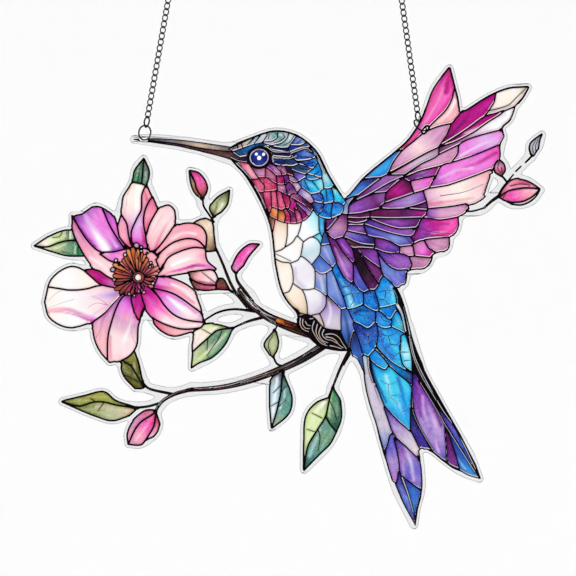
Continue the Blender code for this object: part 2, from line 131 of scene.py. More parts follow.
COLOURS = {
    "amethyst": (0.60, 0.38, 0.72),
    "azure": (0.03, 0.52, 0.86),
    "bark": (0.40, 0.25, 0.18),
    "beige": (0.84, 0.74, 0.62),
    "blue": (0.16, 0.34, 0.72),
    "blush": (0.98, 0.86, 0.87),
    "bright olive": (0.66, 0.66, 0.30),
    "brown": (0.36, 0.19, 0.12),
    "cream": (0.98, 0.945, 0.90),
    "crimson": (0.72, 0.13, 0.36),
    "cyan": (0.20, 0.78, 0.92),
    "dark green": (0.07, 0.28, 0.20),
    "dark olive": (0.36, 0.35, 0.14),
    "deep blue": (0.08, 0.16, 0.52),
    "dove": (0.80, 0.76, 0.83),
    "fern": (0.44, 0.60, 0.47),
    "fuchsia": (0.82, 0.32, 0.80),
    "gold": (0.93, 0.66, 0.28),
    "green": (0.14, 0.50, 0.32),
    "grey": (0.45, 0.43, 0.44),
    "heather": (0.72, 0.48, 0.64),
    "hot pink": (0.94, 0.32, 0.70),
    "ice": (0.72, 0.93, 0.96),
    "indigo": (0.22, 0.16, 0.55),
    "lavender": (0.66, 0.54, 0.80),
    "lilac": (0.89, 0.70, 0.92),
    "lime": (0.84, 0.91, 0.66),
    "magenta": (0.70, 0.06, 0.50),
    "mauve": (0.84, 0.60, 0.76),
    "navy": (0.05, 0.08, 0.26),
    "olive": (0.52, 0.55, 0.30),
    "orange": (0.86, 0.50, 0.20),
    "orchid": (0.92, 0.48, 0.86),
    "peach": (0.97, 0.88, 0.79),
    "pearl": (0.92, 0.90, 0.94),
    "periwinkle": (0.42, 0.52, 0.82),
    "pink": (0.97, 0.62, 0.72),
    "plum": (0.36, 0.10, 0.38),
    "purple": (0.50, 0.22, 0.66),
    "rose": (0.86, 0.36, 0.52),
    "rust": (0.66, 0.30, 0.14),
    "sage": (0.72, 0.76, 0.58),
    "salmon": (0.96, 0.69, 0.71),
    "shell": (0.97, 0.80, 0.82),
    "sky": (0.16, 0.60, 0.90),
    "slate": (0.16, 0.17, 0.20),
    "soot": (0.07, 0.03, 0.05),
    "steel": (0.12, 0.27, 0.43),
    "teal": (0.40, 0.62, 0.58),
    "ultramarine": (0.05, 0.05, 0.42),
    "violet": (0.38, 0.34, 0.76),
    "water": (0.74, 0.85, 0.89),
    "white": (0.98, 0.98, 0.99),
    "wine": (0.32, 0.05, 0.22),
}


# ----------------------------------------------------------------------------- the picture's parts
#
# The parts are written down in short tables. A point is x,z. Points with spaces between them are
# one smooth run, and | stands between runs. An entry is the names of its colours from root to tip,
# a colon and its runs. In a table of lines, the widths at both ends follow after a semicolon, and
# in a table of streaks so does how soft the streak is. An indented line goes on with the entry
# before it.


def read_runs(text):
    """The lists of points that text such as "4,-3 9,-8 | 9,-8 12,1" stands for."""
    return [[tuple(map(float, point.split(","))) for point in run.split()] for run in text.split("|")]


def read_entries(text):
    """A tuple for each entry of a table: its colours if it has any, its runs and its numbers."""
    made = []
    for entry in text.replace("\n  ", " ").strip().splitlines():
        if entry.startswith("#"):
            continue
        colours, _, rest = entry.rpartition(": ")
        shape, _, numbers = rest.partition("; ")
        named = [colours] if colours else []
        made.append((*named, *read_runs(shape), *map(float, numbers.split())))
    return made


# Each cell is its colours from root to tip and its outline: smooth runs that meet at corners,
# starting at the root. Cells drawn later lie over earlier ones.

TOP_PETAL = read_entries("""
rose > pink > pink > mauve: -79.6,21 -84,25 -84.8,29.9 -83.1,36 | -80.6,32.1 -79.6,26 -78,20
orchid > mauve > blush > cream > peach: -78.6,22 -79.6,26 -80.6,32.1 -82.9,36.4 | -82.9,42.8 -81.4,48.9
  -79.8,51.2 -77.2,52.9 | -71.3,51 -73,46.6 -73.4,39 -75.7,34.4 -78.4,27
magenta > orchid > lilac > mauve > pink > salmon: -76,19 -78.4,27 -75.7,34.4 -73.4,39 -73,46.6 -71.3,51 |
  -69.4,48.6 -68,45.8 | -70,42.5 -71.6,38.5 -72.3,33 -71.7,27 -70.6,20
rose > pink > rose: -70.9,27 -72.2,33 -71.5,38.3 -69.8,42.5 -67.6,45.6 | -65.8,41 -66,36.4 | -68.6,32
""")
RIGHT_PETALS = read_entries("""
pink > salmon > pink > salmon: -66,18 -61.5,24 -57.5,29.8 | -54,31.8 -48,32.4 -43,30.4 -40.8,26.5 -41,20 |
  -45,23.7 -50,24.7 -56,23.3 -60,21 -66,17
salmon > shell > salmon > pink: -66,14 -60,21 -56,23.3 -50,24.7 -45,23.7 -41.5,20 | -47,20.2 -54,18.3
  -60,15 -64,9
salmon > blush > shell > pink: -66,6 -62.5,10 -60,15 -54,18.3 -47,20.2 -41.5,19.7 | -41.5,16 -40.5,13
  -36.5,9.5 | -44,8.7 -50,8 -58,6.7 -66,5.5
pink > shell > blush > shell: -69,18 -70.6,25 -69.5,31 -66.2,37.5 | -62,41 -58.3,41.2 -56,37 -57,32
  -61,25.5 -65,20.5
""")
LEFT_PETALS = read_entries("""
blush > shell > pink > mauve > rose: -84,9 -88,3 -95,8 -98.5,11.5 -103.4,19 -107.5,28 -108.5,37 |
  -104.5,30 -100.5,24.5 -96.5,19.7 -93,17.3 -84,12
pink > orchid > pink: -82,13 -88,13.2 -94,17 | -88,18.6 -80,20
purple > orchid > orchid > purple: -107.2,35.9 -103.3,37.1 -98.7,40.2 -95.3,40.7 -93,40.2 | -89.5,32
  -86,26 -81.6,19.4 | -88,18 -92.8,18.2 -96.2,19.6 -101.2,25 -104.5,30.4
purple > fuchsia > orchid > mauve: -92.8,40.1 -90.2,38.7 -87.4,35.8 -85.3,29.2 -81,19.4 | -86,26 -89.5,32
mauve > magenta > crimson: -84,3 -90,5.5 -95,8.8 -101.8,8.6 | -98,5.3 -94,2 -86,0
""")
WHITE_PETAL = read_entries("""
blush > cream > white > cream: -91,1.5 -95,3.3 -98,5.7 -101.3,8.4 | -105,10.3 -109,10.7 -115,8 -119,4
  -121,-0.5 | -115,-0.2 -110,-1 -105,-1 -100,-0.3 -95,1.1
mauve > blush > white > cream: -82,-2 -90,1.3 -95,1.1 -100,-0.3 -105,-1 | -110,-1 -115,-0.2 -121.5,0
  -122,-7 -120,-14.5 -115,-19 -108,-20 | -102,-18.5 -96.3,-16 -92.5,-13.3 -89.5,-10 -85,-5
""")
LOW_PETALS = read_entries("""
amethyst > mauve > salmon > shell: -82,-3 -86,-5 -89.5,-9.6 -92.5,-13.3 -96.5,-15.8 | -98,-22 -95,-31.5
  -90.2,-38 | -90.2,-31 -90,-25 -88.5,-18 -86,-10.5 -83,-5
purple > orchid > mauve > blush > blush > shell: -78,-2 -83,-5 -86,-10.5 -88.5,-18 -90,-25 -90.2,-38 |
  -84,-36.5 -78.5,-33.3 -75.4,-28 -74.6,-20 -73,-12 -71,-8
magenta > magenta > rose: -70,-2 -78,-4 -77,-12 | -74.5,-16 -73,-12 -71,-8
""")
MAGENTA_PETAL = read_entries("""
orchid > pink > blush > blush: -67,1 -65,5.8 | -60,5 -55,3.3 -50,0.7 -46,-3 -44,-8 -43,-13 | -48,-9 -52,-6
  -57,-3 -62,-1.3 -67,-0.5
magenta > orchid > lilac > blush > mauve: -68,0 -62,-1.3 -57,-3 -52,-6 -48,-9 -43.5,-12.3 | -43,-15
  -42,-17.2 | -48,-16.5 -53,-15.3 -57.5,-13 -61.5,-9 -65,-4 -68,0
magenta > hot pink > blush > shell > blush: -70,1 -65,-4 -61.5,-9 -57.5,-13 -53,-15.3 -48,-16.5 -42,-17.2
  | -43.5,-19.8 -48,-20.5 -53,-20.5 -58,-19.4 -64,-17 -67.3,-15 -70.3,-11.5 | -72.3,-7 -74,-1
rose > salmon > blush: -67.5,-15 -64,-17 -58,-19.4 -53,-20.5 -48,-20.5 -43.5,-19.8 | -50,-22.5 -57,-24.5
  -63.5,-22 -67,-18
""")
SEPALS = read_entries("""
green > fern > dark green: -73.5,51 -77.6,51.5 -77,58 -72,65 | -72.6,58 -73.6,51
fern > grey: -73,51 -72.6,58 -72,65 | -69.5,60 -69.6,55 -71,51
fern > sage > lime > cream > sage: -104,24 -110,23.7 -115,22.5 -120,20.6 -127,21 | -120,25.7 -115,28.2
  -110,29 -104,28
green > fern > sage > lime > fern: -104,23.4 -110,23.7 -115,22.5 -120,20.6 -127,21 | -120,18.8 -115,16.7
  -110,16 -101,16
bark > beige > peach > beige: -36.3,19 -41,19 -43,29 -48,31.9 | -44,34.4 -41,34.4 -37.7,32.3 -37,27 -36,19
""")
# Faint veins: their colours and their points.
PETAL_VEINS = read_entries("""
beige: -119.8,-6.5 -117,-3.5 -113,-1
dove: -120,-10 -114,-7.8 -107,-5.6
mauve > heather: -98,-4 -93,-6.2 -90,-8.6
mauve > heather: -100,-10 -96,-7.6 -90,-8.6
mauve > rose: -87.6,-12 -92,-18 -96,-25
rose > mauve: -76.5,-13 -78.3,-19 -77.5,-25 -76,-28
mauve > pink: -80.6,41 -80.4,46 -78.6,50
salmon: -69.6,20 -67.6,28 -63,36
white: -95,-14.2 -91.6,-11.8 -88.4,-8.2 -84.4,-4
""")
# Soft streaks in the petals: colours, points, first and last width, and how soft.
PETAL_STREAKS = read_entries("""
# top petal
lilac > white > white: -77.6,31 -75.9,38 -75.3,44 -74.6,50.6; 0.8 3 0.8
mauve > pink > blush: -80.2,28 -81.6,37 -80.8,44; 1.6 0.4 1.6
magenta > rose: -71.6,23 -73.4,31; 1.8 0.4 1.2
rose: -70.4,44 -71.6,48.4; 1.6 0.4 1.4
# purple petal
purple: -106,34 -101.4,26.6 -96.4,20.6; 0.6 1.2 1.4
lilac > lilac > white > white: -102,37.4 -97.8,30 -91,19.4; 1.4 4.6 2.8
fuchsia > orchid > lilac: -96.6,40 -92,31 -85.6,20.6; 0.8 1.4 1.6
# left petal
rose > mauve: -106.4,33 -102.6,24.4 -97.6,17.4; 1 0.5 1.6
white > blush: -99,15.4 -94,12 -88,8; 0.6 1.4 1.4
# white petal
pink > pink > mauve > orchid: -121,-11.4 -114,-10.6 -109,-11 -103,-13.6 -96.6,-16; 1.2 2.6 1.7
rose > mauve > magenta: -120,-12.2 -112,-12.2 -105,-14 -98,-16.8; 0.3 0.8 0.6
lavender > lilac > pearl: -86,-3.6 -92,-4 -100,-5; 3.6 0.8 2.6
pink > lilac: -84,-3 -93,-10.4 -98,-14; 1.2 0.6 1.6
# low petals
plum > fuchsia > orchid > pink: -78.6,-3 -80,-9 -81,-15; 5 2.6 4.6
blush > white > shell: -77.6,-16 -81,-24 -84,-34; 1 2.2 2
rose > pink: -88.6,-24 -88.8,-30 -88.4,-36; 0.6 1 1.2
magenta > mauve: -88.4,-9 -92.8,-17 -94,-26; 1 0.4 1.4
# magenta petals
magenta > pink > rose: -66,1 -56,-1.4 -47,-7.4; 1.6 0.8 1.6
white > blush: -58,2 -51,-1.4 -46,-6.6; 1 1.6 1.6
white > white > blush: -60,-4.4 -54,-9.4 -47,-13.6; 1 4.2 1.8
hot pink > orchid: -62,-2.4 -54,-6.4 -46,-12.4; 0.6 1 1
magenta > hot pink > pink: -69,-2 -64.6,-9.4 -57,-15.6; 4 0.8 2.2
white > blush > white: -62.6,-16.4 -54,-18.4 -46,-18.6; 0.8 1.2 1.2
# right petals
white > white > pink: -58,11.4 -50,14.6 -42.4,15.6; 1.4 2.8 1.2
pink > hot pink > magenta > orchid: -64,6.6 -53,9.4 -45,11.4 -39,10.6; 0.8 1.8 0.9
rose > pink: -60.4,16.6 -52,20.2 -44,21; 0.6 0.8 1.4
white: -58,24.6 -52,27.6 -46,27; 0.6 0.8 2
rose > salmon: -66.6,19 -63,27.6 -58.4,35; 1.6 0.4 1.6
blush: -68.6,27 -65.6,34 -61.6,38.6; 0.8 1.4 1.6
""")
# Each ray of the blossom's middle: its angle from level, its length and its colours.
RAYS = [
    (196, 12.6, "brown > rust > brown"),
    (208, 13.4, "brown > bark > rust"),
    (221, 12.6, "plum > rust > brown"),
    (234, 11.0, "brown > crimson > bark"),
    (248, 9.4, "plum > rust"),
    (262, 7.6, "plum > crimson"),
    (278, 6.0, "plum > rose"),
    (296, 6.4, "soot > brown"),
    (316, 6.8, "soot > crimson"),
    (338, 9.0, "brown > rust > brown"),
    (-6, 8.4, "soot > rust > brown"),
    (12, 10.4, "brown > rust > salmon"),
    (27, 11.6, "soot > rust > salmon"),
    (40, 9.8, "brown > rose > rust"),
    (54, 9.6, "brown > rust > salmon"),
    (186, 12.2, "brown > rust > brown"),
    (176, 12.8, "brown > rust > orange"),
    (164, 13.6, "brown > rust > orange"),
    (152, 14.4, "rust > orange > gold"),
    (141, 11.8, "brown > rust > salmon"),
    (131, 12.2, "brown > rust > orange"),
    (121, 13.4, "brown > rust > orange"),
    (111, 15.2, "rust > orange > gold"),
    (101, 15.4, "brown > rust > orange"),
    (91, 14.2, "rust > orange > gold"),
    (82, 13.0, "brown > orange > rust"),
    (73, 12.0, "rust > orange > gold"),
    (64, 10.8, "brown > rust > orange"),
]
# Each bead: its middle, its half width and its colours.
BEADS = [
    (-75.7, 21.3, 1.5, "grey > dove > grey"),
    (-73.3, 20.4, 0.8, "white"),
    (-73.3, 18.5, 0.8, "white"),
    (-81.4, 16.6, 1.0, "white"),
    (-86, 13.8, 0.95, "white"),
    (-87.5, 9.2, 1.35, "grey > dove > grey"),
    (-86.8, 4.2, 1.0, "white > grey"),
    (-68.6, 12.6, 0.8, "white"),
    (-68.9, 10.6, 0.75, "white"),
    (-67.5, 2.3, 0.95, "white > blush"),
    (-72, -2.2, 0.9, "white > blush"),
    (-79.4, -2.9, 0.95, "white > grey"),
    (-76.8, -3.8, 0.8, "white > pink"),
    (-70.4, 17.4, 0.6, "pink"),
    (-84.4, 11.6, 0.5, "salmon"),
]
HEART = (-74.8, 5.3)  # the point that the rays and the beads' filaments come from
SEPAL_STREAKS = read_entries("""
dark green: -106.2,28 -107,24; 0.7 0.5 0.7
dark green: -110.4,28.4 -111,24.4; 0.4 0.4 0.7
white: -108.6,28.4 -109,24.4; 0.8 0.6 0.9
cream: -106,22.4 -106.6,16.8; 0.6 0.6 0.7
lime > cream: -111,22 -117,19.6 -121,19.8; 0.8 0.6 1
dark green: -113,18 -108,17; 0.8 0.6 1
cream: -76,54 -74.6,61; 0.3 0.3 0.6
dark green: -75,53 -74,60; 0.8 0.4 1
pearl: -71.6,54 -71.2,60; 0.4 0.3 0.7
""")
SEPAL_LINES = read_runs("-112.6,28.6 -114,25.8 -117.6,25.2 | -110,23.7 -109.6,28.8 | -104.8,23.4 -105,16.6")


def draw_cells(picture, group, cells, rim=None, streaks=(), line=FINE_LINE, spread=SPREAD):
    """Lays a table of cells and its streaks. A rim is a pale line along each one's lower edge."""
    picture.group = group
    for colours, *runs in cells:
        picture.cell(colours, *runs, line=line, rim=rim, spread=spread)
    for streak in streaks:
        picture.streak(*streak)


def draw_cracks(picture, colours, width, *paths):
    """Fine coloured lines, thinner at their far ends."""
    for path in paths:
        picture.stroke(colours, path, width, 0.6 * width, line=0.0)


def draw_blossom(picture):
    draw_cells(picture, "leaves", SEPALS, streaks=SEPAL_STREAKS, line=LINE, spread=LEAF_SPREAD)
    picture.lines(*SEPAL_LINES, width=0.35)
    picture.group = "blossom"
    picture.cell("salmon > pink", outline=oval((-74, 7), 12, 13))
    for petal in (LOW_PETALS, WHITE_PETAL, LEFT_PETALS, TOP_PETAL, RIGHT_PETALS, MAGENTA_PETAL):
        draw_cells(picture, "blossom", petal, line=LINE, spread=PETAL_SPREAD)
    for streak in PETAL_STREAKS:
        picture.streak(*streak)
    for colours, points in PETAL_VEINS:
        picture.stroke(colours, points, 0.25, 0.4, line=0.0)
    draw_heart(picture)


def draw_heart(picture):
    """The blossom's middle: petaloids like rounded rays, and beads on short filaments."""
    picture.cell("brown > soot", outline=oval((-77, 7), 9.4, 7.6, 150), line=0.0)
    for degrees, length, colours in RAYS:
        angle = math.radians(degrees)
        out = Vector((math.cos(angle), math.sin(angle)))
        bend = Vector((-out.y, out.x)) * math.sin(2.3 * degrees)
        side = Vector((-out.y, out.x)) * (0.45 + 0.052 * length)
        places = ((0.16, 0.3, 0), (0.5, 0.75, 0.5), (0.84, 1.0, 0.2), (0.97, 0.62, 0), (1.0, 0, 0))
        left = [Vector(HEART) + out * length * a + side * w + bend * s for a, w, s in places]
        right = [Vector(HEART) + out * length * a - side * w + bend * s for a, w, s in places[-2::-1]]
        picture.cell(colours, [tuple(place) for place in left + right], line=0.5)
    for x, z, size, colours in BEADS:
        end = Vector((x, z))
        run = end - Vector(HEART)
        picture.lines([end - run * 0.42, end - run * 0.2, end], width=0.5, end=0.3)
    for x, z, size, colours in BEADS:
        picture.cell(colours, outline=oval((x, z), size, size * 0.82, 10 * x, 16), line=0.62)
    picture.cell("rust > brown", outline=oval(HEART, 3.0, 2.8), line=0.5)
    picture.cell("beige > cream > white", outline=oval(HEART, 1.8), line=0.5)


# ---------------------------------------------------------------- buds, leaves, stems and branches

STEMS = read_entries("""
-36.6,21 -33,13 -27.5,0 -20,-10; 0.7 1.2
-42.6,45 -42.2,41 -40,37.5 -37,33; 0.5 0.5
-38,34 -37,37; 0.6 0.6
-26.3,8.4 -25.5,4 -21.5,-2 -18,-7; 0.5 1.9
-30,-0.3 -25,-4 -19,-10; 0.5 1.2
-43,-16.9 -35,-12.2 -27,-10.6 -15,-12; 0.4 0.9
-28,-20.2 -20,-16.7 -12,-14.5; 0.4 1.2
-6.8,-21.6 -5,-18; 0.4 0.4
-7.5,-34 -5.4,-38 -2,-39.2; 0.5 0.6
-72.4,-47.5 -70,-50 -58,-53; 0.6 1
-78,-60 -70,-59.2 -64,-57.5; 0.7 0.8
31,-30.5 26,-40.5 22.2,-50; 1.2 0.6
31,-33 28,-38.5; 0.5 0.2
86,38.6 92,38.4 98,40; 0.4 0.4
98,40 102,43.6 106.4,46.6; 0.6 1.4
105,46 107,49.6 109.4,52.4 106.8,56.2; 0.5 0.5
109.6,53 112.6,56.6; 0.4 0.3
114,58.4 116.4,60.8; 0.4 0.3
118.8,62.8 122.6,66.6; 0.4 0.6
""")
BRANCHES = read_entries("""
bark > rust > brown: -66.6,-62 -63,-56.8 -57,-53.2 -48,-50.6; 0.9 1.4 1
bark > rust > grey > bark > grey > slate > soot: -50,-51 -33,-49.6 -18,-46 -2,-39.8 8,-35 18,-28.5; 1.4
  3.6 2
grey > bark > slate > bark > brown: -24,-1 -19,-7.5 -11,-13.8 -3,-17.6 5,-20.5 14,-23; 2.2 5.4 3
""")
# The reddish bark that the bird sits on.
PERCH = read_entries("orange > rust > brown > rust > brown: -5,-16.2 1,-18.4 6,-20 12,-21.6; 2.7 3.3")
PERCH_CRACKS = read_runs("-1.6,-16.2 -1,-18.6 | 3.4,-17.8 4,-20.6 | -0.6,-17.6 7,-20.4")
LEAVES = read_entries("""
# upper bud and its leaf
brown > rose > hot pink > crimson: -42.8,44.5 -45.5,49 -46.5,53 -49.3,58.8 | -45,57.8 -41.8,54.5 -40.2,50
  -41,47
bark > beige > bark: -43,44.5 -46.8,47.5 -48.8,53 -49.5,58.8 | -46.8,53 -45.5,49 -42.8,45
dark olive > sage > sage > olive > slate: -37,35.7 -38.8,40 -35.7,45 -29.2,49 | -30.2,42 -33.2,38
# curved bud
mauve > hot pink > hot pink > crimson: -26,7.5 -27.8,10 -24.8,17.3 -19,22 -14.2,22 | -19.4,16 -22.3,11
# small bud
salmon > blush > blush > salmon > bark: -31,0 -35,4 -37,8 -41,9.7 -49.6,8 | -47.8,4 -46,3 -40,1.4 -34,0.2
salmon > rose > bark: -30,-0.3 -36,1.3 -40,1.5 -44,2.3 -48.8,4.5 | -46,-0.2 -42,-1.2 -36,-0.8
brown > bark > brown: -29.5,-1 -33,4.5 -35.5,3.6 -36,-0.6
# middle leaf
fern > fern > sage > lime: -29,-20.5 -34,-20.3 -40,-25 -47.6,-31.4 | -48.3,-40 | -44.5,-37.5 -38,-34.8
  -31.6,-28.5 -27.5,-20
olive > lime > cream > cream: -29,-20 -34,-18.5 -39,-18 -45.5,-20 -47.8,-26 -47.8,-32 | -44,-28.5 -40,-25
  -36,-21.5 -33,-20.6
# olive leaf on the left and the long leaf
dark olive > dark olive > olive: -72.6,-48 -75,-44.5 -78.5,-39 -83,-36 | -83,-43.5 -76.4,-50.4 -72.3,-50
olive > dark olive > bright olive: -72.3,-49 -74.8,-37 -77,-31 | -83.2,-35.8 | -78.5,-39 -75,-44.5
olive > bright olive > olive: -75,-60 -86.5,-58.3 -92,-57 -97,-57 -104,-59 | -113.2,-57 -102,-53.8
  -92,-51.8 -86,-56.3
beige > sage > olive > dark olive: -76,-60.3 -86.5,-58.3 -92,-57 -97,-57 -104,-59 -113.2,-56.7 |
  -104,-61.5 -97,-63.8 -88,-66.4 -80.5,-64.3
# low bud
rose > mauve > pink: -66,-61.5 -71,-61.5 -78,-67.3 -80.4,-73 -80,-78.3 | -77,-74 -74,-69 -70,-65.5
rose > hot pink > pink > mauve: -66,-62 -69,-64 -73,-66.5 -76,-70 -80,-78.3 | -73.5,-78.5 -70,-74 -67,-69
crimson > rose > pink > cream: -66,-62 -67,-69 -71,-76 | -66,-73.3 -64,-68
# hanging bud
olive > sage > sage > olive: -7.6,-34.5 -11.3,-31.5 -11.9,-28 -6.8,-21 | -4.8,-25.5 -5.2,-31
# blue leaf
grey > water > water > pearl: -3,-41 -8.3,-46 -9.4,-57 -8.3,-70.3 | -5.5,-61 -3.5,-52
slate > teal > teal > sage: -2.5,-41 -3.5,-52 -5.5,-61 -8.3,-70.3 | 0.4,-63 2.1,-55 -2,-43.5
# tall leaf
green > fern > dark green: 22.3,-49.5 20.6,-56 18.7,-64.2 | 21,-68 24.2,-72 | 26.7,-65 26.3,-56
teal > fern > teal > dark green: 18.7,-64.2 14.6,-71 10,-79 7.8,-91.3 | 16.5,-82.4 21,-78 24.2,-72 |
  21,-68
fern > lime > lime > sage: 22.3,-49.5 20.2,-54.8 | 13.8,-57.5 8.9,-64 7.9,-76 7.7,-91.3 | 10,-79 14.6,-71
  18.7,-64.2 20.6,-56
# twig buds and leaf
rose > pink > rose > pink: 105.4,45.6 107,49 109.8,52.4 114,54.3 118.6,53.8 122.4,52 125.8,49.6 | 120,50
  115,49.6 110,48.4
white > blush > white: 107,44.6 112,43 118,43.4 125.8,49 | 124,45.8 120.6,43 116.6,41.5 112,41.8
rose > hot pink > pink > blush: 105.4,45.4 110,48.4 115,49.6 120,50 125.8,49.4 | 122.6,46 118,43.6
  112,42.8 108,43.8
dove > pearl > dove > grey: 122.4,66 120.8,68.6 120.9,71.6 123,74.6 127,77 | 125.8,73.6 125.3,70.6
  125,68.2 124,66.4
""")
LEAF_STREAKS = read_entries("""
lime: 21.6,-53 20.6,-59 20.4,-65; 1.4 0.8 1.2
dark green: 25.6,-56 25.6,-64 24,-70; 1.2 1 1.6
cream > lime: 18,-57 12.6,-64 9.6,-74; 2.2 1 2
water: 16.6,-69 14,-76 10.6,-84; 0.6 1.2 1.8
white: -5.4,-45 -6.6,-54 -7.6,-64; 1 1.4 1.6
white: -1.6,-50 -2,-55 -4,-60; 0.3 0.9 1.2
steel > teal: -4,-43 -3.4,-49 -4.6,-58; 0.8 0.8 1.6
white: 123.2,68 123,71 124.4,74; 0.5 0.4 0.6
lime > white > lime: -31,-23 -36,-28 -44,-35; 0.8 1.4 1.8
green: -29,-24 -34,-31 -41,-35.6; 0.8 0.8 1.2
cream > blush: -36,-20 -42,-22.4 -46.4,-28; 1.6 1.8 2
beige: -80,-62 -88,-60.4 -96,-59.6; 0.6 0.8 1.6
pink > white: -68,-64.6 -71.6,-70 -76,-76; 0.3 0.6 1.4
lime: -76,-45 -77,-38; 0.6 0.6 1.6
hot pink > white: -24,9.6 -22,15 -18,19.6; 0.6 0.5 1.4
orange: -44.6,46.4 -47,51; 0.8 0.3 1.2
dark olive > grey: -36.4,37.6 -35,43 -31,47; 0.7 0.7 1
cream: -35,38 -32.6,42; 0.6 0.8 1.4
crimson: -31,-0.4 -38,2 -45,3.4; 1 0.6 1.2
white > blush: 112,50.6 117,51 121.6,50.8; 0.3 0.5 1
""")
LEAF_LINES = read_runs("""
    -77.5,-38.5 -80,-38 -82,-37.5 | -82,-43.5 -79,-44.6 -75,-47 | -96,-57 -99,-55 | -92,-57.2 -95,-61.5 |
    -33,-21.5 -35,-26 -38,-30 -40.5,-34 | -38,-23.3 -43,-20.5 | -40,-25 -40.5,-31 | -36,2.3 -40,5.5 -43,8
    | -31,-0.5 -27,-3 | -8.7,-33 -9.8,-28 -7.5,-23.5 | -4,-49 -7.5,-52.5 | -5,-57 -8.5,-59 | -4,-53 -1,-49
    | -5.3,-60 -1.2,-56 | 15,-70.4 16,-75 15,-81 | 20.6,-56 23,-61 24.4,-66 | 17,-65 12,-62.5 | 14,-72
    9.5,-70.6 | 111,51 116,52 121,51.4 | 107.6,45.4 108.6,47 | 122.6,67.6 122.2,70.6 124,74 | 123.9,67.6
    123.7,71 124.9,74
""")


def draw_branch(picture, colours, points, first, last, strands):
    """A branch of bark, with dark strands that weave along it."""
    picture.stroke(colours, points, first, last, line=0.66)
    line = smooth_run(points)
    run = np.gradient(line, axis=0)
    side = np.stack([-run[:, 1], run[:, 0]], axis=1) / np.linalg.norm(run, axis=1)[:, None]
    t = np.linspace(0, 1, len(line))
    width = first + (last - first) * t
    for k in range(int(strands)):
        sway = np.sin(t * (9 + 4 * k) + 2.1 * k) * 0.34 + 0.3 * (k - (strands - 1) / 2)
        strand = line + side * (sway * width * 0.5)[:, None]
        path = [tuple(p) for p in strand[::6]] + [tuple(strand[-1])]
        picture.lines(path, width=0.3, end=0.5)
        picture.stroke("bark > dove > bark > grey", [(x, z + 0.42) for x, z in path], 0.15, 0.5, line=0.0)


def draw_branches(picture):
    picture.group = "branches"
    for points, first, last in STEMS:
        picture.stroke("soot > brown > soot", points, first, last, line=0.5)
    for branch in BRANCHES:
        draw_branch(picture, *branch)
    for strip in PERCH:
        picture.stroke(*strip, line=0.5)
    picture.lines(*PERCH_CRACKS, width=0.4)


def draw_leaves(picture):
    draw_cells(picture, "leaves", LEAVES, streaks=LEAF_STREAKS, line=LINE, spread=LEAF_SPREAD)
    picture.lines(*LEAF_LINES, width=0.45)


# ---------------------------------------------------------------------------------------- the bird

BIRD_GROUND = read_runs("""
    -29,70.5 -20,75.5 -6,80 9,77 18,64 28.5,43.5 | 38,56 52,69.5 62,78 70,93 80,113 | 86,100 86,88 | 96,97
    108,102 122,103 | 118,94 112.5,90.5 | 111,82 107,76 105.8,66 104.6,63 102,60 | 99.6,51 94.5,43.6 89,42
    | 88.6,38 85,35.4 | 84.4,28 80.2,25 | 79.6,19.4 73,18 | 70.6,11 60,9 | 58.4,1.6 53,3 | 57,-5 59.6,-14
    63,-27 67,-37 81,-63 98,-96 | 80,-89 68,-80 65.4,-80 | 66.9,-92 67,-101 64,-120 | 48,-84 43,-64 39,-47
    37.6,-42 | 33,-33 30,-31 24,-22.6 10,-17 3,-14 -4,-3 -8,12 -8,24 -11,36 -19,52 -29,64.4
""")
CLAWS = read_runs("""
    4.6,-14.6 9.6,-13.6 13,-15 18,-20 26,-21.4 | 29,-28 31.6,-31 | 26,-31.2 19,-30 14.4,-28 9,-23 5,-20
""")
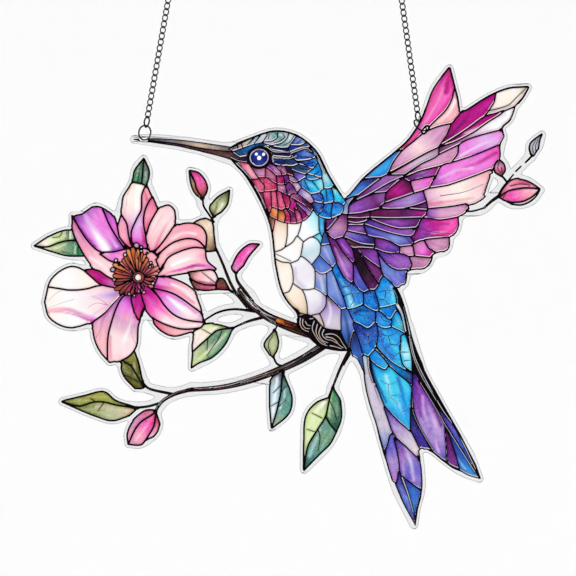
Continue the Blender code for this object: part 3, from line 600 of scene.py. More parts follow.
CROWN = read_entries("""
slate > beige > water > pearl: -29.5,69.6 -25,71.6 -20,74 -15,76.2 -10,78 | -10.5,76 -13.5,72.7 -18,71.6
  -22,70.2 -27.5,68.4
pearl > teal > water: -10.6,76 -10,78.3 -4.9,78.3 | -5.5,75 -8,73.4 -12.5,73.2
teal > pearl > teal > pearl: -13.5,72.6 -8,73.4 -5.5,75 -4.9,78.2 0.6,77.6 | -0.3,75.3 -3,72.6 -8,71.2
steel > teal > water > pearl: -8.5,71 -3,72.6 -0.3,75.3 0.6,77.4 4.4,75.7 | 2.5,73.6 0.8,71 -3,70
steel > periwinkle > water: 0.8,71.2 2.6,73.6 4.4,75.7 9.8,72.5 | 6,71.2
deep blue > blue > periwinkle: 0.2,69.6 1,71 6,71.2 9.8,72.4 11.4,70.6 | 5,69.4 1,67.7
steel > steel > azure > steel > teal: -28,67.8 -22,70 -18,71.4 -13.5,72.4 -8,71 | -11.5,70.4 -15,70.4
  -18.6,68.8 -20.6,65.8 | -24,65.2
navy > navy: -9.5,70.7 -4,69.9 0.2,69.6 | 0.6,67.9 -5,68.4 -8.2,69
navy > soot > navy: -10.6,70 -8,68 -4,67.9 0.4,67.7 | 1.7,66.5 0.7,65.1 | -4,65.5 -7.4,65.8
deep blue > navy > steel: -8,65.7 -4,65.1 0.7,64.8 4.8,62.6 | 2.5,60.8 -1.5,61.4 | -3.2,60.7 -7.4,62.8
navy > blue > periwinkle > blue: 1.7,65.9 5,67.8 9,69.5 | 12.2,67.2 13.8,65.2 | 10,64 5,63.6
navy > blue > sky: 4.8,63.2 10,63.8 13.9,64.9 | 14.6,62 12.4,59.5 | 8.5,60.6
navy > steel > periwinkle: 0.8,60.8 5,60.9 9,60.8 12,59.3 | 9,56.6 | 5,57.7 2.4,58.7
cyan > azure > sky: 9.2,57.2 12.2,59.3 15,62.8 | 17,58.5 16.3,55 | 13,56
azure > cyan: 9,56.9 13,56 16.3,54.8 | 13.5,53.9 10.3,54
slate > violet > lavender: 2.4,58.8 5,57.8 8.9,56.5 | 7.2,54.3 4.6,53.5 3,56
blue > azure > cyan > ice: 5.2,52.6 7.5,54.6 10.5,54 13,53.9 16.4,54.8 | 17.8,51.5 16.6,48.8 13.5,47.3
  9.5,48.6
blue > cyan > water > ice > water > cyan: 11,70.5 14.6,68.5 18,62.5 20.5,57 23,51.5 | 20.2,49.8 18,50.5
  17.6,54 17,57.8 15.4,62 14.3,65.2
cyan > azure > sky: 16.6,48.9 21.7,49.6 | 23,46 21.5,42.8 18.5,42 | 16.7,44.5
periwinkle > blue > blue: 12.2,46.2 15,47.3 17.2,46.6 | 17.6,43.2 15.5,42.4 13.3,43.8
ice > cyan > azure: 22,50 24.4,49.2 29,42.8 | 27,40.8 24,42.6 22.8,46
steel > blue > azure: 12.3,42.6 16,42.4 18.3,41.3 | 17,38.5 15,36.2 13.1,38.8
blue > azure > sky: 18,41.7 20.5,42.4 22.6,41.7 | 22,34.9 18.5,34.7 15,36.3 17,38.5
blue > sky > cyan: 22.4,42.4 25,42.7 28,41 | 27.4,38 24.5,35.8 21.8,34.9 21.5,38
""")
GORGET = read_entries("""
crimson > pink > pink: -25.4,63.2 -22,62.6 -19.2,61.4 | -16.8,58.5 -15.4,54.6 | -17.8,54.7 -21,58
plum > heather > mauve: -18.8,61 -15,60.2 -11,60.2 | -11.4,55.1 | -13.5,55.3 -15.8,56.5
crimson > heather > crimson: -11.4,60 -9.5,59.3 -6.4,56 -5.6,52.4 | -8.5,53.5 -11.4,56
purple > heather > mauve: -10.4,60.5 -6.5,61 -3.5,58.4 | -3.3,55.4 -7,57
plum > heather: -6.4,61.2 -2,60.6 -0.6,57.8 | -2.4,56 -4,58.6
crimson > rose > rose: -18,54.3 -14.5,54.3 | -12,51.5 -12,47.9 | -14.6,48.2 -16.6,51
crimson > rose > crimson: -14.4,54.8 -11,55.3 -8,53.3 | -5,50.4 -8,48.6 -11.9,48.2 | -11.8,51.5
plum > crimson > plum: -5.6,56.2 -2.2,55.8 | -2.4,51.6 -5.2,51.8
purple > plum > heather: -2.2,56.4 0,55.8 | 0.4,51 1.9,48.5 | -1,51.2
heather > heather > purple: -5.4,51.5 -1.6,51.4 | -0.4,46.3 -3.4,48 -5.4,49.8
purple > plum > heather: 0,52.8 2.2,52 | 4.3,47.3 0.7,46.2 -0.4,46.8 -1.2,51
crimson > bark: -15.3,48 -12.7,47.8 | -11.6,42 -9.8,36 | -12.2,40
rose > crimson > rose: -12.6,47.9 -8.6,48.2 | -8.4,44 -9,38 | -11.4,42.3
rose > rose > rose: -8.6,48.2 -6,48 | -4.7,43 -5.2,39.5 | -7.8,40.3
crimson > rose > rose: -6,48.2 -3.3,47.6 | -1.3,42 -3,38.8 | -4.8,39.8
plum > crimson > rose: -3.4,48 0.4,45.8 | 1.5,42.5 0,39.5 | -1.8,42.5
heather > magenta > crimson: 0.4,45.8 3,43.6 4.6,40 | 3.2,37.5 0.2,39.6 | 1.4,42.6
rust > orange > salmon: -9.3,36 -7.6,40.2 -5.3,39.3 | -4.9,36 -5.4,33.9
bark > orange > salmon: -5,39 -2.3,38.7 | -1.2,35.5 -1.6,32.6 | -5.2,33.8
rose > crimson > rose: -2.2,39 0,38 1.6,34.4 1.6,32.3 | -1.5,32.8 -1.2,36
magenta > plum > rose: -0.2,39.4 3,37.4 4.6,34 4.8,32.3 | 1.6,32.4 1.3,36
plum > rose > heather: 3,40 6,37.3 7.5,33.6 | 4.8,32.4 3.9,35.6
purple > plum > magenta: 4.3,41.5 8.5,38.2 10.6,35.9 | 7.6,33.6 6.3,37
plum > purple > lavender: 3.2,44.4 6,43.4 10,40.4 12.3,38.6 | 10.4,35.9 8,38.8
heather > plum > soot: 0.8,46.2 3.6,47.2 8,44 12.5,40.2 | 11.9,38 8,41.4 4,43.8
lavender > heather: 0.2,56.2 3,55.3 5.4,53.3 | 3.2,52.8 1,54.2
lavender > dove: 0.8,53.4 3,52.4 5.2,52.4 6.2,50 | 4.6,47.8 3,50.5
violet > dove > lavender: 4.8,48 6.6,49.6 9.5,47.6 12.6,44.2 | 12.2,42.8 8,45.6
soot > navy: -1,60.8 0.6,60.6 3,55.8 | -0.2,57.2
""")
BEAK = read_entries("""
soot > bark > brown > bark > soot: -77,74.3 -65,73 -55,72 -45,70 -37,68.8 -29,68 -24,66.6 -19.6,65 |
  -19,63.2 -25,63.9 -30,64.9 -38,67 -45,68.6 -55,71 -65,72.3
soot > grey > beige > grey: -77,74.3 -65,74.6 -55,74 -45,72.8 -35,71.4 -28.5,70.4 | -28,68.6 -36,69
  -45,70.3 -55,72.2 -65,73.3
""")
BELLY = read_entries("""
brown > rust: -9.6,36.4 -6.6,35 -5.8,31.5 -7.6,27 | -9.5,31
beige > peach > cream > cream: -6.2,35.2 -3,33.4 -0.3,33 | -0.3,26 -1.2,21.5 | -3.5,19 -8,17.7 | -8,26
cream > white > cream: -0.3,33 3.5,32.6 7,33.6 | 6,29.5 4.7,26 2.6,23.2 -1.2,21 | -0.4,26
cream > white > cream: -8,17.7 -3.5,19 0,20.8 2.6,23.2 4.7,26 7.8,23 | 7,19.5 6.3,16 5,14 1,12.4 -3,13
  -8,15.6
white > white > ice > cyan: 4.8,26 6,29.5 7.2,33.8 10.4,36 12.4,38.6 15,36.4 19,34.8 | 18,28 | 12,25.5
  7.8,23
water > cyan > water: 12.2,25.6 18,28 17.6,24 16,21 | 14,24.6
white > water > pearl: 7.6,23 11.5,25.4 14.5,24.4 16.4,21 16,17.6 13.5,14 11.8,11.6 | 10,13.5 6.3,15.8 |
  7,19.5
peach > cream > cream: -8,15.4 -3,13 1,12.4 2.3,9 2.6,5 2.4,2.3 0.6,-1.6 | -0.4,-2.6 -5,-2.6 | -9,6
white > pearl > pearl > white: 1.2,12.4 5,14 6.4,15.8 10,13.5 12,11.4 13.4,8 13.7,4 13.2,-0.2 | 10,-0.9
  6.8,-0.7 2.5,2.3 | 2.6,5 2.3,9
cream > peach > beige: 2.4,2.3 0.6,-1.6 -2.6,-2.8 | 2,-9 9.6,-13.4 | 9.4,-8 8.4,-3.6 7,-0.8
white > pearl > dove: 7.2,-0.8 10,-0.9 13.2,-0.4 16.6,-2.2 18.9,-6 18.2,-9.6 14.6,-13 | 12,-13.6 9.7,-12.6
  | 9.5,-8 8.4,-3.6
grey > beige: 3,-13 9.6,-13.4 | 12.4,-15 10,-17.4 6,-17
dove > beige: 12,-13.6 15.4,-13.2 17.6,-17 17.6,-19.6 | 14,-17.6
""")
FLANK = read_entries("""
cyan > sky > cyan: 15.4,37 18,34.8 | 18.2,28 17.6,24 | 15.5,29
steel > blue: 17.7,27.5 19.4,27.8 21.3,21.6 | 16.4,21.4
periwinkle > periwinkle > blue: 16.4,21.2 21.5,21.4 24.2,13.6 | 22,10.3 | 16,16.6
blue > periwinkle: 15.7,16 22,10.2 | 20.6,8.4 16.6,7 14,9 | 12,11.6
dove > periwinkle > periwinkle: 13.6,8.4 16.5,7 19.3,7.2 | 19.6,-3.6 | 13.4,-0.2
periwinkle > periwinkle > blue: 19.3,7.4 22,8.6 25,1 29,-9.8 | 26.8,-10.6 | 19.6,-3.4
slate > lavender > dove > dove: 19.8,-4 23,-7 26.4,-10.9 | 26.2,-21 | 24,-22.4 20,-21.4 18,-18 16.2,-13.6
  | 18.9,-9 19.3,-6
blue > periwinkle > blue > steel: 26.8,-10.9 29.4,-10.6 | 31,-15.5 33,-21.2 | 31.2,-26 30.8,-30.2 |
  28.4,-28 27.2,-23 26.6,-17
navy > blue > steel: 32.6,-22 34.6,-25 36.4,-31 38.4,-43 | 35,-36 31,-30.4
""")
BACK = read_entries("""
azure > sky > cyan: 44.4,-19 49,-19.7 53,-20.6 58.2,-23 60.2,-28 61.8,-35 62,-42 | 57,-39.6 52,-36.6
  47.4,-32.4 44.6,-28
cyan > ice > cyan: 56.4,-24 58.2,-23 60.2,-28 61.8,-35 62,-42 | 57.6,-38.5 56,-33
deep blue > blue > azure: 33,-18.4 36,-18.6 40,-20.5 44.2,-18 | 45,-22 44.3,-27 42,-31.5 40,-34 |
  37.3,-31.5 35.4,-25.5
azure > cyan > teal: 51.7,-16.6 54,-12.2 57,-16 58.8,-20.7 58.2,-22.6 | 54.5,-20.3 51.4,-18.4
blue > sky > azure: 43.7,-12.1 46.4,-12.4 50,-15.4 51.9,-16.5 | 50.6,-19.8 46,-19.5 44.2,-17
blue > azure > blue: 30.8,-11 36,-9.9 40,-10.4 43.4,-11.5 | 43.8,-14.5 40,-19.8 35.5,-17.3 32.3,-14
azure > azure > blue: 45.5,-10.2 50,-9.3 54.2,-8 | 53,-12.9 50.3,-15.4 47.8,-13.3
blue > azure > blue: 37.7,-3.2 39.4,-1.8 43,-0.8 | 45,-5 45.5,-10.2 | 43.6,-11.6 40.5,-9.9 38.4,-6.5
azure > blue > sky: 24,11.5 27,6 30,3 33,1.4 36.6,-1 | 37.7,-3.4 36.5,-7 33,-9.8 29.6,-10.2 | 28.3,-5
  25.6,1 22.2,8.6
azure > sky > cyan: 43,-0.6 45.4,3 48,5 51.3,1.6 53.4,-2.5 54.4,-8 | 50,-9.3 45.7,-10 | 44.6,-5
""")
BACK_LINES = read_runs("""
    27,0.4 30,0.8 32.4,2.2 | 28.5,-3.8 32,-2.6 37.2,-2.8 | 32,-2.6 33,-6 31,-9 | 46,-2 49,-1 52.6,-1.4 |
    49,-1 48.6,-5.6 51,-9 | 45,-6 48.6,-5.6 | 35,-13 38,-14 41,-13 | 38,-14 38.6,-17 | 46.4,-14 48,-16.4
    51,-17 | 37,-22.4 40,-23.6 43.6,-22.4 | 40,-23.6 40.4,-27 38,-29 | 40.4,-27 43.6,-26.6 | 46.4,-23
    50,-24 54,-22.4 | 50,-24 51,-28 48.4,-31 | 51,-28 55.6,-28.4 57.4,-25.4 | 55.6,-28.4 55.6,-32 52,-34.6
    | 55.6,-32 60.6,-32 | 58,-36.4 61.6,-36
""")
TERTIALS = read_entries("""
soot > soot > plum: 34,18.6 38,14 43,7 45.4,1.5 | 43.4,-1 41,-1 | 37.4,5 34.4,12
indigo > violet > blue: 33,13 36,6 40.5,-1 | 37.6,-2 34.8,0 32.8,6
soot > plum > plum: 36,17 40.6,13.8 46.4,8.6 45.5,1.8 | 40,9.6
plum > purple > purple: 35.4,19.4 40,19.4 44.4,18.4 | 46.6,9.6 | 42,12.6 38,15.6
purple > plum > amethyst > purple: 19,28 22,24 25,21 29,16 32,12 32.6,7 31.6,3 | 28.6,5.4 25.4,11
  22.8,16.8
purple > purple > plum: 24.6,24.6 26.6,25.2 30,21 33.6,12 | 31,14 27,19
bark > soot: 29.4,24.6 36,22 43,21 | 43,20.4 37,20.4 32,21.4
""")


FEATHERS = read_entries("""
rose > hot pink > hot pink > hot pink > magenta: 57,68.6 62,72 67,77 71,81 75,85 78.5,88.5 81.5,93.5
  83.4,100 | 80.5,112 | 74,106 68,93 63,81 55,69
blush > salmon > salmon > pink: 68,78 75,80.7 81.6,82.2 | 84.6,85 85.6,91 83.4,100.5 | 81.5,93.5 78.5,88.5
  75,85
heather > mauve > blush > mauve > mauve: 50,57.6 52.4,62.6 57,68.6 63,73.5 68,77.6 75,80.7 81.4,82.2 |
  78,74 75.2,70.4 | 70,68 62,63.8
wine > magenta > magenta > magenta: 75.2,70.4 79,76 82,82 85,86 90,90 97,95 105,98.5 | 103,93 101,89.6
  98.6,86 | 95,83.7 90,80 84,75.8
blush > cream > cream > beige: 98.4,86 101,89.6 103,93 104.6,98.6 112,101 122,102 | 118,96 113.2,90.6 |
  108,89 103.5,87.2
plum > magenta > magenta: 75,70.4 84,75.7 92,81 98.6,85.9 103.5,87.2 107.4,88.6 | 105,86 99.2,82.4 93,78
  83,72.8
plum > mauve > white > white: 75,70 83,72.8 93,78 99.2,82.4 105,86 113.4,90.8 | 112,85 108,80 | 98,76.8
  86,71.9 75,66.4
plum > mauve > mauve > mauve: 58.4,55.6 66,61.6 75,66.5 85.6,71.6 | 84.9,68 81.5,62.6 | 72,60 65,58.2
lilac > orchid > lilac > orchid: 81.6,62.7 84.9,67 85.6,71.6 97,76.6 109,79 | 108,76 105.6,71.4 | 99,68.2
  93,66.1
purple > orchid > orchid > orchid > hot pink: 70.4,49.8 73.4,54.6 77,61.2 81.6,62.7 92,66 105.6,71.6 |
  106,66 104.9,63 102.4,60 | 100,58.9 90,54.9 80,51.5
plum > amethyst > magenta: 58.4,55 66,58.3 76.4,61 | 74.2,57 73.4,54.6 | 66,54.4 61.4,52.8
mauve > orchid > hot pink: 61.2,53.4 66,54.6 73.6,56 | 70.4,49.8 | 63,47.8
mauve > blush > cream > shell > salmon: 69,44 68,48.6 80,51.3 90,54.8 101,59 | 100.4,52 97,46 93,43.4 |
  84,41.2 70,39.8
purple > mauve > mauve > mauve: 69.6,39.6 79,40.4 88.6,42 | 89,38 85,35.6 | 80,34.4 74,34 68,35.2
plum > purple > magenta > hot pink > hot pink: 61.4,25.2 64.6,29 68,34.6 76,34 85,35.4 | 85,28.6 80,25 |
  72,24.8 67,24 62.6,22
heather > mauve > heather: 68.6,24 74,24.8 80.6,25.4 | 80.4,20 78,18.2 | 72.6,18.4 70,20.4
heather > orchid > magenta: 62.4,21.8 67.2,23.4 70,20.2 73.2,18.2 | 71,15.2 | 66.6,15.6 63.2,16.2
heather > mauve > mauve: 55.8,20.2 59,20.9 62.6,20.6 | 63.2,16.2 | 59.6,15.8 55.6,17.6
heather > heather > mauve: 60.8,15.8 66,15.6 72,15 | 71,10.6 66,9.4 | 61.6,9.8
""")
COVERTS = read_entries("""
# leading edge
sky > sky > azure: 37.6,54.2 42,55.2 47,56 50,57.6 52.4,62.6 57,69 | 49,66 40,58
periwinkle > sky > blue > navy: 27,37.2 30.4,41.6 33.4,45.6 39,49.4 46,54.6 | 40,54.4 34,52 27.4,42
water > periwinkle > dove: 27,36.8 29.8,37 30.6,41.8 34,46 | 29,44 26.6,39
plum > amethyst > heather > heather: 33,43 37,47 43,52 49,56 58,61 68,66.8 75.4,70.4 | 75,66.6 66,61.6
  57,55.6 50,52.2 42,47.6
heather > mauve > dove > heather: 50,56.4 58,61 68,66.8 75.4,70.4 | 75,66.6 66,61.6 58.4,56.6
plum > amethyst > plum: 31,41.6 38,45.2 44,48.4 50,52 56.6,55 | 52,50.4 49.2,48 43,47.4
amethyst > purple > plum > amethyst: 30,36.8 31,41.4 37,44.8 43,47 49,47.8 | 48.2,43 46.4,40.8 | 42,39.4
  36,37.2
wine > magenta > wine: 48.4,42.6 49.2,47.6 53,51.4 57.2,54.2 | 60.4,52.6 62.6,47.6 | 57,45.4
plum > amethyst > lavender > purple: 46,41 51,43 58,45.4 67.6,48.4 | 69.2,43.2 | 64,41.2 57,39.6 50,39.6
soot > plum: 58.4,39.9 64,41.2 69.3,43 | 69.8,38.8 | 64,39.2
wine > wine > plum > magenta: 40.6,37.6 48,38.8 56,39.4 69.4,38.8 | 69,36.6 66,35.2 | 54,34.9 41,35.2
plum > purple > plum: 41,34.8 50,34.4 66,34.8 | 64.4,31.4 61,29.8 | 57,29.7 50,31 44.6,33
indigo > purple > amethyst: 38,32 41,33.8 48,31.6 55,29.4 61,29.6 64,29 | 62.6,26.4 60,25.8 | 55,26.6
  48,28.4
deep blue > violet > periwinkle > indigo: 37.6,31.6 44,29.6 52,27 58,25.8 61.4,25.6 | 62.8,22.4 59,21 |
  55,21.2 48,24.4 40,26
plum > purple > indigo: 42.4,25.2 48,24.4 54,21.6 55.8,20.2 | 55.4,17.6 52.6,17 | 46,18.6 43.4,20
indigo > purple > amethyst: 44.4,19 50,17.2 55.4,17.4 60.4,15.8 | 61.8,11.4 60,9.6 | 55,9 50,11.4 46,15.6
violet > periwinkle > violet: 45,17.6 49.4,12 54,9.2 59,9 | 58.4,2 54,1.6 | 50,5 46.6,9
# the block of rows beside the shoulder
plum > wine: 29.8,36.6 36,37.2 41,38 | 40.8,35 | 36,34.6 29.8,34.9
wine > plum: 29.8,34.9 36,34.7 40.6,35 | 38,33 | 34,32.2 29.8,33
indigo > plum: 29.8,32.8 34,32.2 38.4,32.8 | 37.6,31.2 | 29.8,31.2
purple > amethyst > plum: 29.8,31.2 37.6,31.2 | 39.4,26.8 | 34,27.6 29.8,28.8
amethyst > violet > indigo > navy: 28.6,28.4 34,27.4 40,26 43.2,25 | 43.4,21.2 | 37,21.8 32,23.8 28,26
# the shoulder
plum > heather > amethyst: 27,37 29.6,36.6 | 29.8,31 28.6,27.6 27,25.4 24.6,24.8 21.6,25.8 19,28.2 |
  22.4,31.4
plum > indigo: 18.8,34.8 21.6,34.8 25.4,36.4 | 22,31.6 19.6,28.6
""")
COVERT_LINES = read_runs("""
    66,30 72,28 84,27 | 67,27 74,26.4 | 62,22.4 59,24.6 | 64,29 60.6,28.2 | 76,46 88,48 98,52 | 66,56
    71,58
""")
TAIL = read_entries("""
# left side, from the outside in
water > dove > dove > dove > periwinkle: 37,-34 40.4,-35 41.6,-43 44.6,-51 47.2,-59 50,-67 51.6,-72.4 |
  50,-77 48,-82 | 44,-68 39,-52
violet > lavender > lavender > orchid: 49,-81 51.6,-73 54,-79 55.2,-88 54.6,-98 | 52,-96 48,-88
steel > azure > steel: 44,-30 48,-34 52,-37.8 57,-40.8 62,-43.2 | 61.6,-49 56,-44.4
azure > cyan > cyan > sky > cyan: 41.6,-37 45,-38.6 50.4,-39.6 55,-43 61.4,-49 61.2,-58 60.8,-71.4 |
  55,-66 50,-60 46,-52 43.4,-45
azure > sky > cyan: 40.6,-34.6 43,-31.8 48,-35.8 50,-39 | 48.6,-40.8 44,-38.8
indigo > lavender > dove > blush: 48.4,-60 54.4,-66 60.8,-71.6 64,-77 66,-85 | 62,-81 | 57,-76 52,-70.4
indigo > lavender > violet > lavender: 53,-75.6 58,-79.6 63,-84.4 66,-86.6 | 66.8,-92 67,-101 | 57.4,-94.4
  55.6,-86
indigo > periwinkle > violet: 55.4,-92 58.4,-100 62.4,-110 64,-119 | 57,-106 54,-98
indigo > blue > periwinkle > blue: 57.6,-94.6 67,-101.6 | 65.9,-108 64,-119 | 62.4,-110 58.6,-100
# right side
navy > indigo > indigo: 61.4,-60 64,-67 68,-74 73,-82.4 | 66,-79.2 61.6,-71
purple > purple > lavender > lavender > violet: 62.4,-43 69.4,-53 75.4,-62 78,-68 78.6,-75 79.6,-87 |
  73,-82.8 68,-74 63.4,-62 62,-54
plum > plum > purple: 78.6,-70 81.6,-76 83.8,-83 86.4,-91 | 79.8,-87.2 79,-80
indigo > blue > sky: 78.6,-68.4 82,-74 87.2,-82 96,-95.2 | 90,-93.4 85.8,-91 | 84,-84 81.4,-76
indigo > violet > blue > periwinkle: 74.6,-60.6 79,-64.6 83.4,-69.6 87,-76 90.4,-83 95,-92 | 91,-87.4
  87.2,-81 82,-73 78,-66.4
""")
TAIL_EDGES = read_entries("""
57.4,-8 59.6,-17 61.4,-26 63.6,-35 71,-50 78,-62 83,-69 86.8,-76 93.8,-90.6; 0.7 0.65
60.6,-24 62.2,-33 66,-42.6 74,-56; 0.6 0.6
66,-47 72.4,-57.6 78,-67.4 82.2,-74.2 87.2,-82.2 93.4,-92; 0.5 0.65
57,-94.6 60,-103 62.6,-112; 0.8 0.6
78.4,-69 78.8,-76 79.4,-85.6; 0.4 0.5
40,-34.6 40.4,-40 42.4,-47; 0.7 0.6
62,-53 62.6,-62 66.6,-71 72.6,-81; 0.5 0.55
""")
# Soft streaks: colours, points, first and last width, and how soft.
TAIL_STREAKS = read_entries("""
blue > azure > sky: 55,-45 57.4,-54 59.6,-66; 1 2 2
cyan > ice > cyan: 53.6,-52 55.4,-58 58.4,-65; 0.6 0.6 1.2
ice > cyan: 49,-44 51.6,-54 56,-63; 2 0.8 2.2
indigo > purple > violet: 62.6,-44 65,-56 71,-70; 4 1.6 2.6
violet > lilac > lavender: 67,-54 72,-64 76.6,-78; 0.6 1.8 2.4
lilac > white > lilac: 58.6,-80 61.6,-88 62.6,-96; 0.4 1.2 2.6
purple > lilac: 55.6,-78.4 57,-86 58,-93; 1.6 0.6 1.6
ice: 85,-86 88.6,-90.4; 0.4 0.5 1.2
blue > azure: 61,-99 63.6,-105 63.6,-113; 2 0.6 2
deep blue: 41,-37 44,-46 49,-57; 1 0.6 1.6
purple: 64.6,-47 66,-56 66.4,-64; 2.6 1.4 1.4
purple > plum: 69.6,-54 73.4,-61 76.6,-69; 1.4 1.2 1.4
lilac > lavender: 67.2,-54 68,-62 70.4,-69; 1 2 1.6
lilac: 73.6,-76 75.2,-82; 0.8 1.4 1.4
""")
BELLY_STREAKS = read_entries("""
salmon > peach: -6.8,33 -7.4,26 -7.6,19; 1.6 1 2
peach: -8,13 -7,5 -5,-1.6; 1.4 1 2
cyan > ice: 17,33 16.6,27 14,23; 2.6 1 2.6
beige: -1.4,-4 3,-9 8,-12.6; 1.6 1 2
dove: 3.6,10 4.4,4 8,0.6; 1 1 2.2
lavender > dove: 18,-3 17.6,-8 14,-12; 1.6 1 2.4
""")
FLANK_STREAKS = read_entries("""
dove > lavender: 18,20 20.6,15 22.4,11; 0.6 0.8 1.6
dove > water: 16,6 17,2 17.6,-2; 1 1.4 2
water > periwinkle: 22.6,5 24.6,-2 27,-8; 0.5 0.8 1.6
steel > navy: 28,-12 29.6,-19 31,-28; 0.8 1.4 1.8
pearl: 20,-6 21.4,-12 20,-18; 0.8 1.2 2
sky > ice: 16.4,34 17,29; 0.6 0.6 1.2
""")
BACK_STREAKS = read_entries("""
navy > deep blue: 33.4,-12.6 36,-11 40,-11.6; 1.4 1 2
deep blue: 34.6,-19.6 38,-20.6 43,-19; 1.8 1.2 2.2
cyan > ice: 26,5 30,-3 32,-9; 0.8 2.4 2.2
ice > cyan: 51.6,1 52.6,-4 52,-8.6; 0.8 1.4 1.6
cyan: 48,-22 52,-27 57,-36; 0.8 2.6 2.4
blue: 46.4,-21 47,-28 53,-35; 1.6 1 2
deep blue: 39,-2.4 42,-2.2 44,-6; 1 1 1.8
cyan > teal: 53,-13 56,-18 58,-21; 1 1.6 2
""")
CROWN_STREAKS = read_entries("""
cyan > ice > cyan: 15.6,66 19,58.6 21.6,51.6; 0.5 0.8 1
navy: -19,67.6 -14,70.8; 0.8 0.6 1
water > pearl: -6,76.8 -2,76.4; 1 0.8 1.2
deep blue: 17,40 20,37 23,36.4; 1.6 1 1.6
ice > cyan: 8,53 12,51 14.6,49; 1.4 1 1.8
deep blue: 13,41 14.6,38; 1.6 1 1.6
""")
FEATHER_STREAKS = read_entries("""
crimson > rose > magenta: 57.6,71 63.6,80 70,91 80,110; 1.4 1.2 1.6
lilac > pink: 66,79 72,88 78,100; 0.4 1 1.8
magenta > crimson: 79,98 80.6,108; 2.6 1.4 2
blush > white: 74,82.6 80,87 83.6,94; 0.6 1.6 1.6
wine > plum: 76.6,70.4 82,77 89,84; 1.2 0.6 1.6
white: 112,99 117,100.6; 1.6 1 2
white > lilac: 86,66 96,71.4 105,74; 0.6 1.4 1.6
hot pink > magenta: 84,58 96,63 104,67.6; 0.8 1.6 2
lilac > white: 76,55 84,58.6 92,60; 0.6 0.6 1.8
rose > pink: 71,42 82,43.4 93,45; 1 0.6 1.8
magenta: 63,26 70,31 80,32; 1.2 0.8 2
pink: 72,27.4 79,28; 0.8 0.6 1.6
white > pearl: 88,77 99,81.6 108,86.6; 1 2.4 1.6
""")
TERTIAL_STREAKS = read_entries("""
lilac: 23.4,20 26.6,13 30,6; 0.4 0.8 1.8
orchid: 27,22 30,17.6; 0.4 0.5 1.4
""")
# Edges beside the wing: colours, points, both widths and the width of the black line.
BACK_EDGES = read_entries("""
white > water > white: 54.6,-8.4 56.8,-12.6 58.8,-21.6; 1.7 0.9 0.4
teal > cyan: 53,-1 54.6,-5 54.8,-8; 0.7 0.5 0.2
""")
BELLY_LINES = read_runs("-6,17 -2.6,15.4 1.6,13.4")
FEATHER_LINES = read_runs("99.6,88.5 104,89.4 110.4,91.6 114,95 120.6,101.6")
# The bud whose stem lies over the wing's lower edge.
ROSE_BUD = read_runs("106.6,55.8 103.4,58 103.1,61 105.4,63.9 107.9,62 108.5,58.6 106.6,55.8")
ROSE_BUD_LINES = read_runs("106.2,57.4 104.8,60 105.6,62.8 | 107,57.6 106.6,60.4")
BROW_LINES = read_runs("-23.4,72.6 -22.6,70 | -17,75 -20.5,71.3 | -13.8,76.4 -17,72 | -25.4,71.4 -25,69.6")
NAPE_LINES = read_runs("13,56.4 15.6,58.4 | 12,53.6 15.6,49 | 8,54 10.6,49 | 19,49 19.6,43")
TAIL_LINES = read_runs("""
    46,-46 50,-48 56,-47 | 50,-48 51,-54 55,-58 | 51,-54 57.6,-53 | 57,-62 60.6,-60 | 43,-49 46,-58
""")
CLAW_STRANDS = read_runs("""
    6.2,-15.1 6,-18.1 7.5,-20.6 10.4,-21.9 | 7.5,-15.6 7.3,-18.1 9.1,-20.2 11,-20.2 | 8.7,-16.8 9.6,-18.4
    11.4,-18.9 | 13.1,-16.6 12.1,-20.2 14.2,-24.8 16.7,-27.7 19.6,-28.8 | 14.7,-18.2 14,-21.9 15.8,-25.6
    18.8,-28 | 16.5,-19.3 15.4,-22.7 17.2,-26.1 20,-27.4 | 18,-20.8 17.1,-23.2 18.8,-25.4 22.2,-26.3
    24.7,-27.9 | 18.8,-23.3 21.3,-22.9 23.8,-23.5 25.7,-25 27,-27.2 29.2,-30.5 | 19,-24.4 21.7,-24.9
    23.8,-26.1 25.5,-28.4 27.6,-30 | 11,-15.4 12.6,-15.2 | 21,-28.8 24,-29.4 26.6,-30.4
""")
CROWN_LINES = read_runs("""
    -9.4,77 -9.8,74.4 | -6.4,77.6 -5,75.6 -7,74 | -2.6,77 -1.6,75.6 -3.6,73.6 -7,72.4 | 2.8,75.8 1.4,73.4
    -2.4,71.2 | 6.4,73.8 4.4,72.2 | 8.6,72.6 7,71.4 | 9.4,71 4,70.4 | 9,68.6 12.6,66.8 | 6,65.6 12.4,65 |
    8,61.6 13.6,63 | 6,59.6 11,59 | 12,61.4 14.2,60.4
""")
EYE = (-14.4, 65.2)  # its middle
PALE_LINES = read_entries("""
-20.4,65.9 -18.3,68.5 -15,70.2 -11.3,70.4 -9.4,68.2 -8,65.4 -7.4,62.8; 0.75 0.65
-10.6,70.6 -7.4,68.3 -3,68 0.6,67.9; 0.65 0.6
-9,67.2 -7.2,65.4 -3,65 0.8,64.7 4.4,66; 0.7 0.55
1.4,67.4 5,68.7 9,69.8 12,68; 0.7 0.55
-28.6,65.4 -25,63.7 -19.6,62.9; 0.55 0.5
-25.8,62.4 -22,58.6 -18.4,54.4; 0.7 0.5
-16.6,51 -14,46.4 -11,40; 0.6 0.5
14.4,66.6 16.6,62 18.6,57.4; 0.55 0.5
""")


